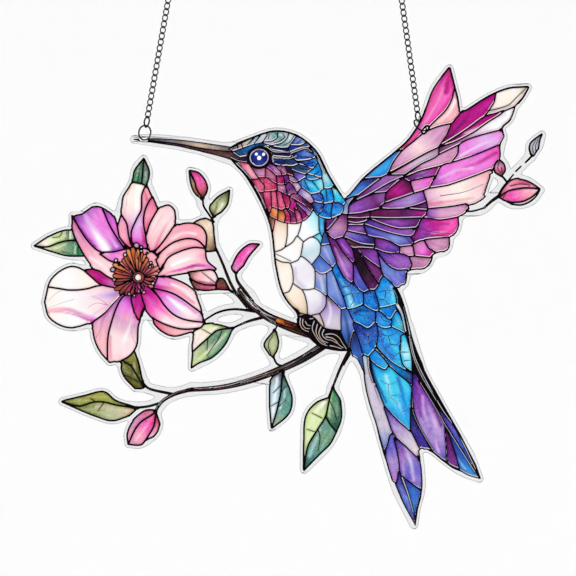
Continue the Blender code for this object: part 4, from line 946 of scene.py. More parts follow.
def draw_bird(picture):
    picture.group = "body"
    picture.cell("", *BIRD_GROUND, line=0.0)
    draw_cells(picture, "tail", TAIL, rim="pearl", streaks=TAIL_STREAKS, line=0.66)
    for points, first, last in TAIL_EDGES:
        picture.stroke("white > pearl", points, first, last, line=0.3)
    draw_cracks(picture, "steel > blue", 0.36, *TAIL_LINES)
    draw_cells(picture, "body", BELLY, streaks=BELLY_STREAKS)
    picture.lines(*BELLY_LINES, width=0.35)
    draw_cells(picture, "body", FLANK, rim="pearl", streaks=FLANK_STREAKS)
    draw_cells(picture, "back", BACK, rim="ice", streaks=BACK_STREAKS, line=0.6)
    for edge in BACK_EDGES:
        picture.stroke(*edge)
    draw_cracks(picture, "navy > steel", 0.46, *BACK_LINES)
    picture.group = "body"
    picture.cell("", *CLAWS)
    for strand in CLAW_STRANDS:
        picture.stroke("pearl > beige > pearl", strand, 0.8, 0.6, line=0.3)
    draw_cells(picture, "wing", TERTIALS, rim="dove", streaks=TERTIAL_STREAKS, line=0.7)
    draw_cells(picture, "wing", FEATHERS, rim="blush", streaks=FEATHER_STREAKS, line=0.74)
    draw_cells(picture, "wing", COVERTS, rim="dove", line=0.7)
    draw_cracks(picture, "plum", 0.4, *COVERT_LINES)
    picture.lines(*FEATHER_LINES, width=0.5)
    picture.group = "leaves"
    picture.cell("bark > rose > mauve > bark", *ROSE_BUD)
    picture.lines(*ROSE_BUD_LINES, width=0.4)
    draw_cells(picture, "head", BEAK)
    draw_cells(picture, "head", CROWN, rim="pearl", streaks=CROWN_STREAKS)
    draw_cells(picture, "throat", GORGET, rim="pink")
    picture.group = "head"
    picture.lines(*BROW_LINES)
    picture.lines(*CROWN_LINES, width=0.4)
    picture.lines(*NAPE_LINES, width=0.45)
    for points, first, last in PALE_LINES:
        picture.stroke("white > pearl", points, first, last, line=0.25)
    picture.cell("", outline=oval(EYE, 6.0, 5.4, 8))
    picture.cell("lilac > white", outline=oval(EYE, 5.0, 4.6, 8), line=0.4)
    picture.cell("ultramarine > deep blue > ultramarine", outline=oval(EYE, 4.3, 3.95, 8), line=0.2)
    for (x, z), size in (((-1.4, 1.7), 0.75), ((0, -0.2), 1.05), ((2.2, 1.6), 0.8)):
        picture.cell("white", outline=oval((EYE[0] + x, EYE[1] + z), size * 1.1, size, 60, 14), line=0.0)


def draw_picture(sheet_outlines):
    """The whole picture, from the branch behind to the bird in front."""
    picture = Picture(sheet_outlines)
    draw_branches(picture)
    draw_leaves(picture)
    draw_blossom(picture)
    draw_bird(picture)
    picture.finish()
    return picture


# ----------------------------------------------------------------------------- drawing the picture


def smooth_run(points, step=CURVE_STEP):
    """Points about step apart on a smooth curve through the given ones."""
    points = np.array(points, float)
    if len(points) < 3:
        return points
    knots = np.vstack([2 * points[0] - points[1], points, 2 * points[-1] - points[-2]])
    gaps = np.sqrt(np.linalg.norm(np.diff(knots, axis=0), axis=1))
    curve = []
    for k in range(1, len(knots) - 2):
        p0, p1, p2, p3 = knots[k - 1 : k + 3]
        g0, g1, g2 = gaps[k - 1 : k + 2]
        leave = ((p1 - p0) / g0 - (p2 - p0) / (g0 + g1) + (p2 - p1) / g1) * g1
        arrive = ((p2 - p1) / g1 - (p3 - p1) / (g1 + g2) + (p3 - p2) / g2) * g1
        count = max(2, round(np.linalg.norm(p2 - p1) / step))
        t = np.arange(count)[:, None] / count
        curve.append(
            (2 * t**3 - 3 * t**2 + 1) * p1
            + (t**3 - 2 * t**2 + t) * leave
            + (3 * t**2 - 2 * t**3) * p2
            + (t**3 - t**2) * arrive
        )
    return np.vstack(curve + [points[-1:]])


def closed_outline(runs):
    """One closed polygon from smooth runs that meet at corners."""
    if len(runs) == 1 and runs[0][0] == runs[0][-1]:
        return smooth_run(runs[0])[:-1]
    pieces = []
    for k, run in enumerate(runs):
        corner = runs[k - 1][-1]
        joined = run if not k or corner == run[0] else [corner] + run
        pieces.append(smooth_run(joined)[:-1])
    if runs[-1][-1] != runs[0][0]:
        pieces.append(np.array([runs[-1][-1]], float))
    return np.vstack(pieces)


def oval(centre, half_length, half_width=None, angle=0.0, count=28):
    """The outline of an oval, its long way turned by angle degrees from level."""
    turns = 2 * np.pi * np.arange(count) / count
    u = half_length * np.cos(turns)
    v = (half_width or half_length) * np.sin(turns)
    c, s = math.cos(math.radians(angle)), math.sin(math.radians(angle))
    return np.array(centre) + np.stack([u * c - v * s, u * s + v * c], axis=1)


class Canvas:
    """A square grid over the sheet. Fields on it are millimetres to an edge, negative inside."""

    def __init__(self, low, high):
        self.x = np.arange(low[0], high[0] + GRID, GRID)
        self.z = np.arange(low[1], high[1] + GRID, GRID)

    def window(self, points, margin):
        """The part of the grid that holds these points and a margin round them."""
        low, high = np.min(points, axis=0) - margin, np.max(points, axis=0) + margin
        columns = slice(*np.searchsorted(self.x, (low[0], high[0])))
        rows = slice(*np.searchsorted(self.z, (low[1], high[1])))
        return columns, rows

    def near(self, field, window, start, end, taper=(0.0, 0.0)):
        """Lowers a window's field to its distance from one segment, less a half width."""
        columns, rows = self.window([start, end], REACH + max(taper))
        left, bottom = window[0].start, window[1].start
        x, z = self.x[columns, None], self.z[None, rows]
        run = end - start
        along = ((x - start[0]) * run[0] + (z - start[1]) * run[1]) / max(run @ run, 1e-12)
        along = along.clip(0, 1)
        away = np.hypot(x - start[0] - along * run[0], z - start[1] - along * run[1])
        away -= taper[0] + (taper[1] - taper[0]) * along
        here = field[columns.start - left : columns.stop - left, rows.start - bottom : rows.stop - bottom]
        np.minimum(here, away, out=here)

    def shape(self, outlines):
        """The window and field of a shape bounded by closed outlines, holes among them."""
        window = self.window(np.vstack(outlines), REACH + 2 * GRID)
        x, z = self.x[window[0]], self.z[window[1]]
        field = np.full((len(x), len(z)), REACH)
        crossings = np.zeros((len(x) + 1, len(z)), int)
        for outline in outlines:
            for start, end in zip(outline, np.roll(outline, -1, axis=0)):
                self.near(field, window, start, end)
                rows = np.arange(*np.searchsorted(z, sorted((start[1], end[1]))))
                if len(rows):
                    slope = (end[0] - start[0]) / (end[1] - start[1])
                    cut = start[0] + (z[rows] - start[1]) * slope
                    np.add.at(crossings, (np.searchsorted(x, cut), rows), 1)
        inside = np.cumsum(crossings, axis=0)[:-1] % 2 == 1
        return window, np.where(inside, -field, field)

    def stroke(self, points, first, last):
        """The window and field of a line whose width runs from first to last."""
        line = smooth_run(points)
        window = self.window(line, REACH + 2 * GRID + max(first, last))
        shape = (window[0].stop - window[0].start, window[1].stop - window[1].start)
        field = np.full(shape, REACH)
        widths = np.linspace(first, last, len(line)) / 2
        for start, end, taper in zip(line, line[1:], zip(widths, widths[1:])):
            self.near(field, window, start, end, taper)
        return window, field


class Area:
    """One area of colour in the picture."""

    def __init__(self, group, colours, window, field, root, tip, line, rim, spread, seed):
        self.group = group
        self.colours = colours
        self.window = window
        self.field = field
        self.root = np.array(root, float)
        self.tip = np.array(tip, float)
        self.line = line
        self.rim = rim
        self.spread = spread
        self.seed = seed
        self.plain = bool(colours) and not line
        self.pale = False
        self.streaks = []


class Picture:
    """The printed picture: areas of colour with a black line round each, later ones on top."""

    def __init__(self, sheet_outlines):
        corners = np.vstack(sheet_outlines)
        self.canvas = Canvas(corners.min(axis=0) - 1, corners.max(axis=0) + 1)
        self.limit = np.full((len(self.canvas.x), len(self.canvas.z)), REACH)
        holes = [outline for outline in sheet_outlines if abs(enclosed_area(outline)) < RING_HOLE]
        edges = [outline for outline in sheet_outlines if abs(enclosed_area(outline)) >= RING_HOLE]
        window, field = self.canvas.shape(edges)
        self.limit[window] = field
        self.limit += CLEAR_MARGIN
        for hole in holes:
            window, field = self.canvas.shape([hole])
            self.limit[window] = np.maximum(self.limit[window], HOLE_MARGIN - field)
        self.areas = []
        self.group = None
        self.random = np.random.default_rng(SEED)

    def add(self, colours, window, field, root, tip, line, rim=None, spread=0.0):
        """Lays an area over what is there already. No colours makes it all black. A rim is
        the colour of a pale line along the area's lower edge. A spread lets the area grow
        by up to that much to meet its neighbours."""
        edge = EDGE_LINE if colours else line
        field = np.maximum(field, self.limit[window] + edge - line / 2 - CLEAR_MARGIN + LEAST_MARGIN)
        seed = self.random.random()
        made = Area(self.group, colours, window, field, root, tip, line, rim, spread, seed)
        self.areas.append(made)

    def join_neighbours(self):
        """Lets areas that were drawn a little apart grow until they meet halfway."""
        nearest = np.full(self.limit.shape, REACH)
        second = nearest.copy()
        for area in self.areas:
            if area.colours:
                near, next_near = nearest[area.window], second[area.window]
                np.minimum(next_near, np.maximum(near, area.field), out=next_near)
                np.minimum(near, area.field, out=near)
        for area in self.areas:
            if area.spread:
                near, next_near = nearest[area.window], second[area.window]
                other = np.where(area.field <= near, next_near, near)
                grown = np.maximum(area.field - area.spread, (area.field - other) / 2)
                grown = np.maximum(grown, self.limit[area.window] + EDGE_LINE - area.line / 2)
                area.field = np.minimum(area.field, grown)

    def part_rims(self):
        """Splits each area with a rim into the pale line and what lies inside it."""
        parted = []
        for area in self.areas:
            parted.append(area)
            if area.rim:
                x, z = self.canvas.x[area.window[0]], self.canvas.z[area.window[1]]
                lower = np.stack(np.meshgrid(x, z, indexing="ij"), axis=2).reshape(-1, 2)
                lower = sampled(area.field, x, z, lower + RIM_SHIFT).reshape(area.field.shape)
                inner = copy.copy(area)
                inner.field = np.maximum(area.field, lower - RIM_LEAST) + area.line / 2
                inner.line = 0.0
                area.colours, area.pale, area.streaks = area.rim, True, []
                parted.append(inner)
        self.areas = parted

    def cell(self, colours, *runs, line=LINE, rim=None, spread=0.0, outline=None):
        """An area from its outline, whose first point is its root."""
        if outline is None:
            outline = closed_outline(runs)
        window, field = self.canvas.shape([outline])
        root = outline[0]
        tip = outline[np.argmax(np.linalg.norm(outline - root, axis=1))]
        self.add(colours, window, field, root, tip, line, rim, spread)

    def stroke(self, colours, points, first, last, line=LINE):
        """A long thin area. Without colours it is a black line."""
        window, field = self.canvas.stroke(points, first, last)
        self.add(colours, window, field, points[0], points[-1], line)

    def lines(self, *paths, width=LINE, end=0.3):
        """Black lines that taper a little towards their ends."""
        for path in paths:
            self.stroke("", path, width, end, line=0.0)

    def streak(self, colours, points, first, last, soft=1.2):
        """A soft-edged stroke of colour in the areas that its group has so far."""
        streak = (stops_of(colours), *self.canvas.stroke(points, first, last), points, soft)
        for area in self.areas:
            if area.group == self.group and area.colours:
                area.streaks.append(streak)

    def finish(self):
        """Works out what shows of each area, and the black that is left between them."""
        self.join_neighbours()
        self.part_rims()
        cover = np.full(self.limit.shape, -REACH)
        glass = np.full(self.limit.shape, REACH)
        walls = cover.copy()
        for area in reversed(self.areas):
            above = cover[area.window]
            if area.colours:
                area.seen = np.maximum(area.field + area.line / 2, above)
                glass[area.window] = np.minimum(glass[area.window], area.seen)
                own = -REACH if area.plain else area.field + area.line / 2
                area.walls = np.maximum(own, walls[area.window])
            cover[area.window] = np.maximum(above, area.line / 2 - area.field)
            if not area.plain:
                walls[area.window] = np.maximum(walls[area.window], area.line / 2 - area.field)
        self.black = np.maximum(-cover, -glass)


# For each pattern of grid corners inside, the cell sides that the outline enters and leaves by.
CROSSINGS = {
    1: [(0, 3)], 2: [(1, 0)], 3: [(1, 3)], 4: [(2, 1)], 5: [(0, 3), (2, 1)], 6: [(2, 0)],
    7: [(2, 3)], 8: [(3, 2)], 9: [(0, 2)], 10: [(1, 0), (3, 2)], 11: [(1, 2)],
    12: [(3, 1)], 13: [(0, 1)], 14: [(3, 0)],
}


def traced_loops(field, x, z):
    """The closed lines where a field is zero, with the inside on their left."""
    field = np.pad(field, 1, constant_values=REACH)
    x = np.concatenate([[x[0] - GRID], x, [x[-1] + GRID]])
    z = np.concatenate([[z[0] - GRID], z, [z[-1] + GRID]])
    inside = field < 0
    pattern = inside[:-1, :-1] + 2 * inside[1:, :-1] + 4 * inside[1:, 1:] + 8 * inside[:-1, 1:]
    after = {}
    for i, k in zip(*np.nonzero((pattern > 0) & (pattern < 15))):
        sides = ((i, k, 0), (i + 1, k, 1), (i, k + 1, 0), (i, k, 1))
        for enter, leave in CROSSINGS[int(pattern[i, k])]:
            after[sides[enter]] = sides[leave]
    loops = []
    while after:
        start, side = after.popitem()
        loop = [start]
        while side != start:
            loop.append(side)
            side = after.pop(side)
        i, k, upright = np.array(loop).T
        j, m = i + 1 - upright, k + upright
        t = field[i, k] / (field[i, k] - field[j, m])
        loops.append(np.stack([x[i] + t * (x[j] - x[i]), z[k] + t * (z[m] - z[k])], axis=1))
    return loops


def thinned(loop, tolerance=TOLERANCE):
    """The loop with only the points that it needs to stay within the tolerance."""
    if len(loop) < SHORT_LOOP:
        return loop
    far = int(np.argmax(np.linalg.norm(loop - loop[0], axis=1)))
    kept = {0, far}
    ring = np.vstack([loop, loop[:1]])
    spans = [(0, far), (far, len(loop))]
    while spans:
        first, last = spans.pop()
        if last - first < 2:
            continue
        run = ring[last] - ring[first]
        away = ring[first + 1 : last] - ring[first]
        length = max(float(np.hypot(*run)), 1e-9)
        off = np.abs(away[:, 0] * run[1] - away[:, 1] * run[0]) / length
        worst = int(np.argmax(off))
        if off[worst] > tolerance or last - first > LONGEST_SIDE:
            middle = first + 1 + worst if off[worst] > tolerance else (first + last) // 2
            kept.add(middle)
            spans += [(first, middle), (middle, last)]
    return loop[sorted(kept)]


def enclosed_area(loop):
    x, z = loop.T
    return 0.5 * float(x @ np.roll(z, -1) - z @ np.roll(x, -1))


def sampled(field, x, z, points):
    """A field's value at points between those of its grid."""
    u = ((points[:, 0] - x[0]) / GRID).clip(0, len(x) - 1.001)
    v = ((points[:, 1] - z[0]) / GRID).clip(0, len(z) - 1.001)
    i, k = u.astype(int), v.astype(int)
    u, v = u - i, v - k
    low = field[i, k] * (1 - u) + field[i + 1, k] * u
    high = field[i, k + 1] * (1 - u) + field[i + 1, k + 1] * u
    return low * (1 - v) + high * v


def triangles_within(field, x, z, inset, step):
    """Points and triangles over the inside of a field, with a row of faces along its edge."""
    edge = [loop for loop in traced_loops(field, x, z) if abs(enclosed_area(loop)) > SPECK]
    loops = [thinned(loop) for loop in edge]
    for loop in traced_loops(field + inset, x, z):
        if abs(enclosed_area(loop)) > SPECK:
            loops.append(thinned(loop))
    if not edge:
        return None
    points, edges = [], []
    for loop in loops:
        start, count = len(points), len(loop)
        points += [Vector(point) for point in loop]
        edges += [(start + k, start + (k + 1) % count) for k in range(count)]
    if step:
        gx = np.arange(x[0], x[-1], step)
        gz = np.arange(z[0], z[-1], step * math.sqrt(3) / 2)
        inner = np.array([(a + step / 2 * (row % 2), b) for row, b in enumerate(gz) for a in gx])
        inner = inner[sampled(field, x, z, inner) < -inset - 0.4 * step]
        points += [Vector(point) for point in inner]
    made = delaunay_2d_cdt(points, edges, [], 0, 1e-5)
    points = np.array([tuple(point) for point in made[0]])
    walls = {tuple(sorted(edge)) for edge, source in zip(made[1], made[4]) if source}
    faces = np.array(made[2])
    labels = patches(made[2], walls)
    corners = points[faces]
    centres = corners.mean(axis=1)
    span = corners[:, 1:] - corners[:, :1]
    size = np.abs(span[:, 0, 0] * span[:, 1, 1] - span[:, 0, 1] * span[:, 1, 0])
    depth = sampled(field, x, z, centres) * size
    inside = np.bincount(labels, weights=depth) < 0
    faces = faces[inside[labels] & (size > 1e-7)]
    used, faces = np.unique(faces, return_inverse=True)
    return points[used], faces.reshape(-1, 3)


def patches(faces, walls):
    """Numbers the triangles so that those joined across no wall share a number."""
    parent = list(range(len(faces)))

    def top(k):
        while parent[k] != k:
            parent[k] = parent[parent[k]]
            k = parent[k]
        return k

    owner = {}
    for k, (a, b, c) in enumerate(faces):
        for u, v in ((a, b), (b, c), (c, a)):
            side = (u, v) if u < v else (v, u)
            if side in walls:
                continue
            if side in owner:
                parent[top(k)] = top(owner[side])
            else:
                owner[side] = k
    return np.unique([top(k) for k in range(len(faces))], return_inverse=True)[1]


# ------------------------------------------------------------------------------------------ meshes


def linear(colour):
    """A display colour's linear values."""
    c = np.array(colour, float)
    return np.where(c <= 0.04045, c / 12.92, ((c + 0.055) / 1.055) ** 2.4)


def stops_of(colours):
    """The list of colours named in words such as "pink > white"."""
    return np.array([COLOURS[name.strip()] for name in colours.split(">")])


def graded(stops, t):
    """Colours at positions t from 0 to 1 along a row of evenly spaced stops."""
    places = np.linspace(0, 1, len(stops)) if len(stops) > 1 else [0.0]
    return np.stack([np.interp(t, places, stops[:, k]) for k in range(3)], axis=1)


def area_mesh(area, canvas, relief):
    """An area's points, faces and the values that its finish reads."""
    x, z = canvas.x[area.window[0]], canvas.z[area.window[1]]
    made = triangles_within(area.seen, x, z, RIM, INNER_STEP)
    if made is None:
        return None
    points, faces = made
    swell = (-sampled(area.seen, x, z, points)).clip(0, REACH)
    depth = (-sampled(area.walls, x, z, points)).clip(float(area.pale), REACH)
    run = area.tip - area.root
    length = max(float(np.hypot(*run)), 0.1)
    along = (points - area.root) @ run / length
    across = (points - area.root) @ np.array([-run[1], run[0]]) / length
    tint = graded(stops_of(area.colours), (along / length).clip(0, 1))
    for stops, window, field, path, soft in area.streaks:
        start, run = np.array(path[0]), np.subtract(path[-1], path[0])
        weight = 0.5 - sampled(field, canvas.x[window[0]], canvas.z[window[1]], points) / soft
        weight = weight.clip(0, 1)[:, None]
        colour = graded(stops, ((points - start) @ run / (run @ run)).clip(0, 1))
        tint += (colour - tint) * weight**2 * (3 - 2 * weight)
    grain = np.stack([along, across, np.full(len(points), GRAIN_SPREAD * area.seed)], axis=1)
    height = relief * (1 - np.exp(-swell / SWELL))
    return dict(points=points, faces=faces, height=height, tint=tint, grain=grain, depth=depth)


def joined(meshes):
    """Several areas' points, faces and values as one set."""
    start, faces = 0, []
    for mesh in meshes:
        faces.append(mesh["faces"] + start)
        start += len(mesh["points"])
    parts = {key: np.concatenate([mesh[key] for mesh in meshes]) for key in meshes[0]}
    parts["faces"] = np.concatenate(faces)
    return parts


def printed_piece(name, parts, side, material):
    """A printed piece on the front (side -1) or the back (side 1) face of the sheet."""
    points, faces = parts["points"], parts["faces"]
    if side > 0:
        faces = faces[:, ::-1]
    face_y = SHEET_LOW.y if side < 0 else SHEET_HIGH.y
    y = face_y + side * (INK_BASE + parts["height"]) * MM
    places = np.stack([points[:, 0] * MM, y, points[:, 1] * MM + MIDDLE], axis=1)
    mesh = bpy.data.meshes.new(name)
    mesh.from_pydata(places.tolist(), [], faces.tolist())
    values = {
        "tint": ("FLOAT_COLOR", "color"),
        "grain": ("FLOAT_VECTOR", "vector"),
        "depth": ("FLOAT", "value"),
    }
    for key, (kind, field) in values.items():
        if key not in parts:
            continue
        data = parts[key]
        if key == "tint":
            data = np.column_stack([linear(data), np.ones(len(data))])
        layer = mesh.attributes.new(key, kind, "POINT")
        layer.data.foreach_set(field, np.ascontiguousarray(data, np.float32).ravel())
    low, high = points.min(axis=0), points.max(axis=0)
    corners = np.zeros(len(mesh.loops), np.int32)
    mesh.loops.foreach_get("vertex_index", corners)
    flat = (points[corners] - low) / (high - low)
    if side > 0:
        flat[:, 0] = 1 - flat[:, 0]
    layout = mesh.uv_layers.new(name="OFBake")
    flat = LAYOUT_EDGE + (1 - 2 * LAYOUT_EDGE) * flat
    layout.data.foreach_set("uv", flat.astype(np.float32).ravel())
    mesh.shade_smooth()
    mesh.materials.append(material)
    piece = bpy.data.objects.new(name, mesh)
    bpy.context.scene.collection.objects.link(piece)
    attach(piece, "root")
    return piece


def sheet_outlines():
    """The cut edges of the sheet, from its front face."""
    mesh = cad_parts[SHEET].data
    count = len(mesh.vertices)
    places = np.zeros(count * 3)
    mesh.vertices.foreach_get("co", places)
    places = places.reshape(-1, 3)
    front = places[:, 1] < (SHEET_LOW.y + SHEET_HIGH.y) / 2
    keys = np.round(places[:, (0, 2)] / MM, 3)
    after = {}
    sides = {}
    for face in mesh.polygons:
        corners = list(face.vertices)
        if not all(front[k] for k in corners):
            continue
        for a, b in zip(corners, corners[1:] + corners[:1]):
            a, b = tuple(keys[a]), tuple(keys[b])
            if (b, a) in sides:
                del sides[(b, a)]
            else:
                sides[(a, b)] = True
    for a, b in sides:
        after[a] = b
    loops = []
    while after:
        start, place = after.popitem()
        loop = [start]
        while place != start:
            loop.append(place)
            place = after.pop(place)
        loops.append(np.array(loop) - (0, MIDDLE / MM))
    return loops


# ---------------------------------------------------------------------------------------- finishes


class Value:
    """A node's output in a finish, for use in sums."""

    def __init__(self, finish, source):
        self.finish = finish
        self.source = source

    def maths(self, operation, *others):
        values = {k: value for k, value in enumerate((self, *others))}
        return self.finish.node("Math", dict(operation=operation), values)

    def __sub__(self, other):
        return self.maths("SUBTRACT", other)

    def __rsub__(self, other):
        return Value(self.finish, other).maths("SUBTRACT", self)

    def stretched(self, low, high, to_low=0.0, to_high=1.0):
        """The value with low..high spread over another range, and held inside it."""
        values = {0: self, 1: low, 2: high, 3: to_low, 4: to_high}
        return self.finish.node("MapRange", dict(clamp=True), values)


class Finish:
    """A material whose nodes are made by name."""

    def __init__(self, name, **constants):
        self.material = bpy.data.materials.new(name)
        self.material.use_nodes = True
        self.tree = self.material.node_tree
        self.shader = self.tree.nodes["Principled BSDF"]
        for socket, value in constants.items():
            self.shader.inputs[socket.replace("_", " ")].default_value = value

    def node(self, kind, settings=None, values=None, output=0):
        """A node of a kind, its settings, its sockets' values or links, and its output."""
        made = self.tree.nodes.new(f"ShaderNode{kind}")
        for key, value in (settings or {}).items():
            setattr(made, key, value)
        for key, value in (values or {}).items():
            self.feed(made.inputs[key], value)
        return Value(self, made.outputs[output])

    def feed(self, socket, value):
        """Links a value to a socket, or sets the socket to a number or colour."""
        if isinstance(value, Value):
            value = value.source
        if isinstance(value, bpy.types.NodeSocket):
            self.tree.links.new(value, socket)
        else:
            socket.default_value = value

    def set(self, socket, value):
        self.feed(self.shader.inputs[socket], value)

    def attribute(self, name, output="Fac"):
        return self.node("Attribute", dict(attribute_name=name), output=output)

    def noise(self, vector, scale, detail=2.0, distortion=0.0):
        values = {"Vector": vector, "Scale": scale, "Detail": detail, "Distortion": distortion}
        return self.node("TexNoise", None, values)

    def scaled(self, vector, factors):
        """A vector with each part multiplied."""
        return self.node("VectorMath", dict(operation="MULTIPLY"), {0: vector, 1: factors})

    def mixed(self, factor, first, second, blend="MIX"):
        """One colour over another."""
        settings = dict(data_type="RGBA", blend_type=blend)
        return self.node("Mix", settings, {0: factor, 6: first, 7: second}, 2)

    def bump(self, height, strength, distance):
        values = {"Height": height, "Strength": strength, "Distance": distance}
        self.set("Normal", self.node("Bump", None, values))


def display(colour):
    """A colour property as linear red, green, blue and alpha."""
    return (*linear(tuple(colour)), 1.0)


def ink_finish(name, streaks, mottle, glow, rim, shade, veins=0.0):
    """Transparent ink that looks like hand-rolled glass: streaked along each area's length,
    mottled and veined, paler in the middle of wide areas and darker beside the black lines.
    A rim is the colour beside the lines and, as its last number, how strong it is."""
    finish = Finish(name, Roughness=0.4, Specular_IOR_Level=0.03)
    grain = finish.attribute("grain", "Vector")
    depth = finish.attribute("depth")
    tint = finish.attribute("tint", "Color")
    along = finish.noise(finish.scaled(grain, (0.07, 0.34, 1.0)), 1.0, 2.0, 0.8)
    cloud = finish.noise(finish.scaled(grain, (0.26, 0.30, 1.0)), 1.0, 4.0, 0.5)
    vein = finish.noise(finish.scaled(grain, (0.42, 0.42, 1.0)), 1.0, 2.0, 1.6)
    tones = (finish.node("Gamma", None, {"Color": tint, "Gamma": power}) for power in (0.6, 1.6))
    light, deep = tones
    colour = finish.mixed(depth.stretched(0.3, 2.8, 0.0, glow), tint, light)
    colour = finish.mixed(along.stretched(0.52, 0.70, 0.0, streaks), colour, light)
    colour = finish.mixed(along.stretched(0.46, 0.30, 0.0, shade), colour, deep)
    colour = finish.mixed(cloud.stretched(0.36, 0.60, mottle, 0.0), colour, deep)
    dark_vein = (vein - 0.46).maths("ABSOLUTE").stretched(0.022, 0.004, 0.0, veins)
    colour = finish.mixed(dark_vein, colour, deep)
    pale_vein = (vein - 0.54).maths("ABSOLUTE").stretched(0.03, 0.004, 0.0, veins)
    colour = finish.mixed(pale_vein, colour, light)
    near_line = depth.stretched(0.75, 0.0, 0.0, rim[3])
    colour = finish.mixed(near_line, colour, display(rim[:3]))
    finish.set("Base Color", colour)
    finish.bump(cloud, 0.1, 0.0004)
    return finish.material


def line_finish():
    """Black raised lines with a touch of plum."""
    finish = Finish("black line", Roughness=0.45, Specular_IOR_Level=0.03)
    place = finish.node("TexCoord", None, None, "Object")
    cloud = finish.noise(place, 260.0, 3.0)
    black, plum = display((0.02, 0.01, 0.02)), display((0.08, 0.03, 0.055))
    finish.set("Base Color", finish.mixed(cloud.stretched(0.45, 0.7), black, plum))
    finish.set("Roughness", cloud.stretched(0.3, 0.7, 0.38, 0.52))
    return finish.material


def acrylic_finish(settings):
    """Clear polished acrylic. Its bevel and cut sides, the faces not turned to front or back, get a grey
    tint: painted shade that stands in for the refraction shade along the cut edge.
    """
    finish = Finish(
        "clear acrylic",
        Roughness=settings.roughness,
        IOR=settings.refraction,
        Transmission_Weight=1.0,
    )
    normal = finish.node("NewGeometry", None, None, "Normal")
    facing = finish.node("SeparateXYZ", None, {0: normal}, "Y").maths("ABSOLUTE")
    # The edge colour is painted shade, mixed in wherever a face turns away from front and back.
    face, edge = display(settings.tint), display(settings.painted_edge_shade)
    finish.set("Base Color", finish.mixed(facing.stretched(0.88, 0.99), edge, face))
    return finish.material


def metal_finish():
    """Black lacquered steel wire, rubbed a little in scattered patches."""
    finish = Finish(
        "black metal",
        Metallic=0.4,
        Specular_IOR_Level=0.15,
        Coat_Weight=0.06,
        Coat_Roughness=0.2,
    )
    place = finish.node("TexCoord", None, None, "Object")
    worn = finish.noise(place, 900.0, 3.0)
    lacquer, bare = display((0.02, 0.02, 0.025)), display((0.10, 0.10, 0.12))
    finish.set("Base Color", finish.mixed(worn.stretched(0.5, 0.75), lacquer, bare))
    finish.set("Roughness", worn.stretched(0.3, 0.7, 0.28, 0.5))
    return finish.material


# -------------------------------------------------------------------------------------- the add-on


class SheetSettings(bpy.types.PropertyGroup):
    tint: FloatVectorProperty(
        name="Tint",
        description="Colour that the clear acrylic gives to light",
        subtype="COLOR",
        min=0.0,
        max=1.0,
        default=(0.92, 0.92, 0.925),
    )
    # Painted shade: the grey that the bevel and cut sides get, standing in for the shade that refraction
    # shows along the cut edge.
    painted_edge_shade: FloatVectorProperty(
        name="Edge Tint",
        description="Colour of the polished edge",
        subtype="COLOR",
        min=0.0,
        max=1.0,
        default=(0.55, 0.55, 0.56),
    )
    roughness: FloatProperty(
        name="Roughness",
        description="Haze of the polished faces",
        subtype="FACTOR",
        min=0.0,
        max=1.0,
        default=0.03,
    )
    refraction: FloatProperty(
        name="Index of Refraction",
        description="How strongly the acrylic bends light",
        min=1.0,
        max=2.0,
        default=1.49,
    )
    edge: FloatProperty(
        name="Edge Rounding",
        description="Width of the polished bevel round the cut edge",
        subtype="DISTANCE",
        unit="LENGTH",
        default=0.45 * MM,
    )


class PrintSettings(bpy.types.PropertyGroup):
    relief: FloatProperty(
        name="Relief",
        description="How far each coloured area swells out of the sheet",
        subtype="DISTANCE",
        unit="LENGTH",
        default=0.10 * MM,
    )
    ridge: FloatProperty(
        name="Line Height",
        description="How far the black lines stand out of the sheet",
        subtype="DISTANCE",
        unit="LENGTH",
        default=0.2 * MM,
    )


class ChainSettings(bpy.types.PropertyGroup):
    wire: FloatProperty(
        name="Chain Wire",
        description="Thickness of the wire that the links are bent from",
        subtype="DISTANCE",
        unit="LENGTH",
        default=0.62 * MM,
    )
    steps: IntProperty(
        name="Steps",
        description="Points round each link",
        min=12,
        max=96,
        default=36,
    )


class StageSettings(bpy.types.PropertyGroup):
    view_width: FloatProperty(
        name="View Width",
        description="Width of the view at the sheet",
        subtype="DISTANCE",
        unit="LENGTH",
        default=0.288,
    )
    distance: FloatProperty(
        name="Camera Distance",
        description="Distance from the camera to the sheet",
        subtype="DISTANCE",
        unit="LENGTH",
        default=1.6,
    )
    lamp_power: FloatProperty(
        name="Lamp Power",
        description="Power of each of the two soft lamps",
        unit="POWER",
        default=1.0,
    )
    sky: FloatProperty(
        name="Sky",
        description="Strength of the white light from all round",
        min=0.0,
        default=1.2,
    )


    camera_height: FloatProperty(
        name="Camera Height",
        description="Height of the camera over the middle of the picture",
        subtype="DISTANCE",
        unit="LENGTH",
        default=0.0,
    )


@functools.lru_cache(maxsize=1)
def drawn_picture():
    """The picture, drawn once for all of its prints."""
    return draw_picture(sheet_outlines())


class SUNCATCHER_OT_sheet(bpy.types.Operator):
    """Gives the cut sheet its clear acrylic and its polished edge"""

    bl_idname = "suncatcher.sheet"
    bl_label = "Acrylic Sheet"

    def execute(self, context):
        settings = context.scene.suncatcher_sheet
        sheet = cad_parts[SHEET]
        sheet.data.materials.clear()
        sheet.data.materials.append(acrylic_finish(settings))
        weld = sheet.modifiers.new("one skin", "WELD")
        weld.merge_threshold = 0.001 * MM
        bevel = sheet.modifiers.new("polished edge", "BEVEL")
        bevel.width = settings.edge
        bevel.segments = 2
        bevel.use_clamp_overlap = False
        bevel.limit_method = "ANGLE"
        bevel.angle_limit = math.radians(50)
        return {"FINISHED"}


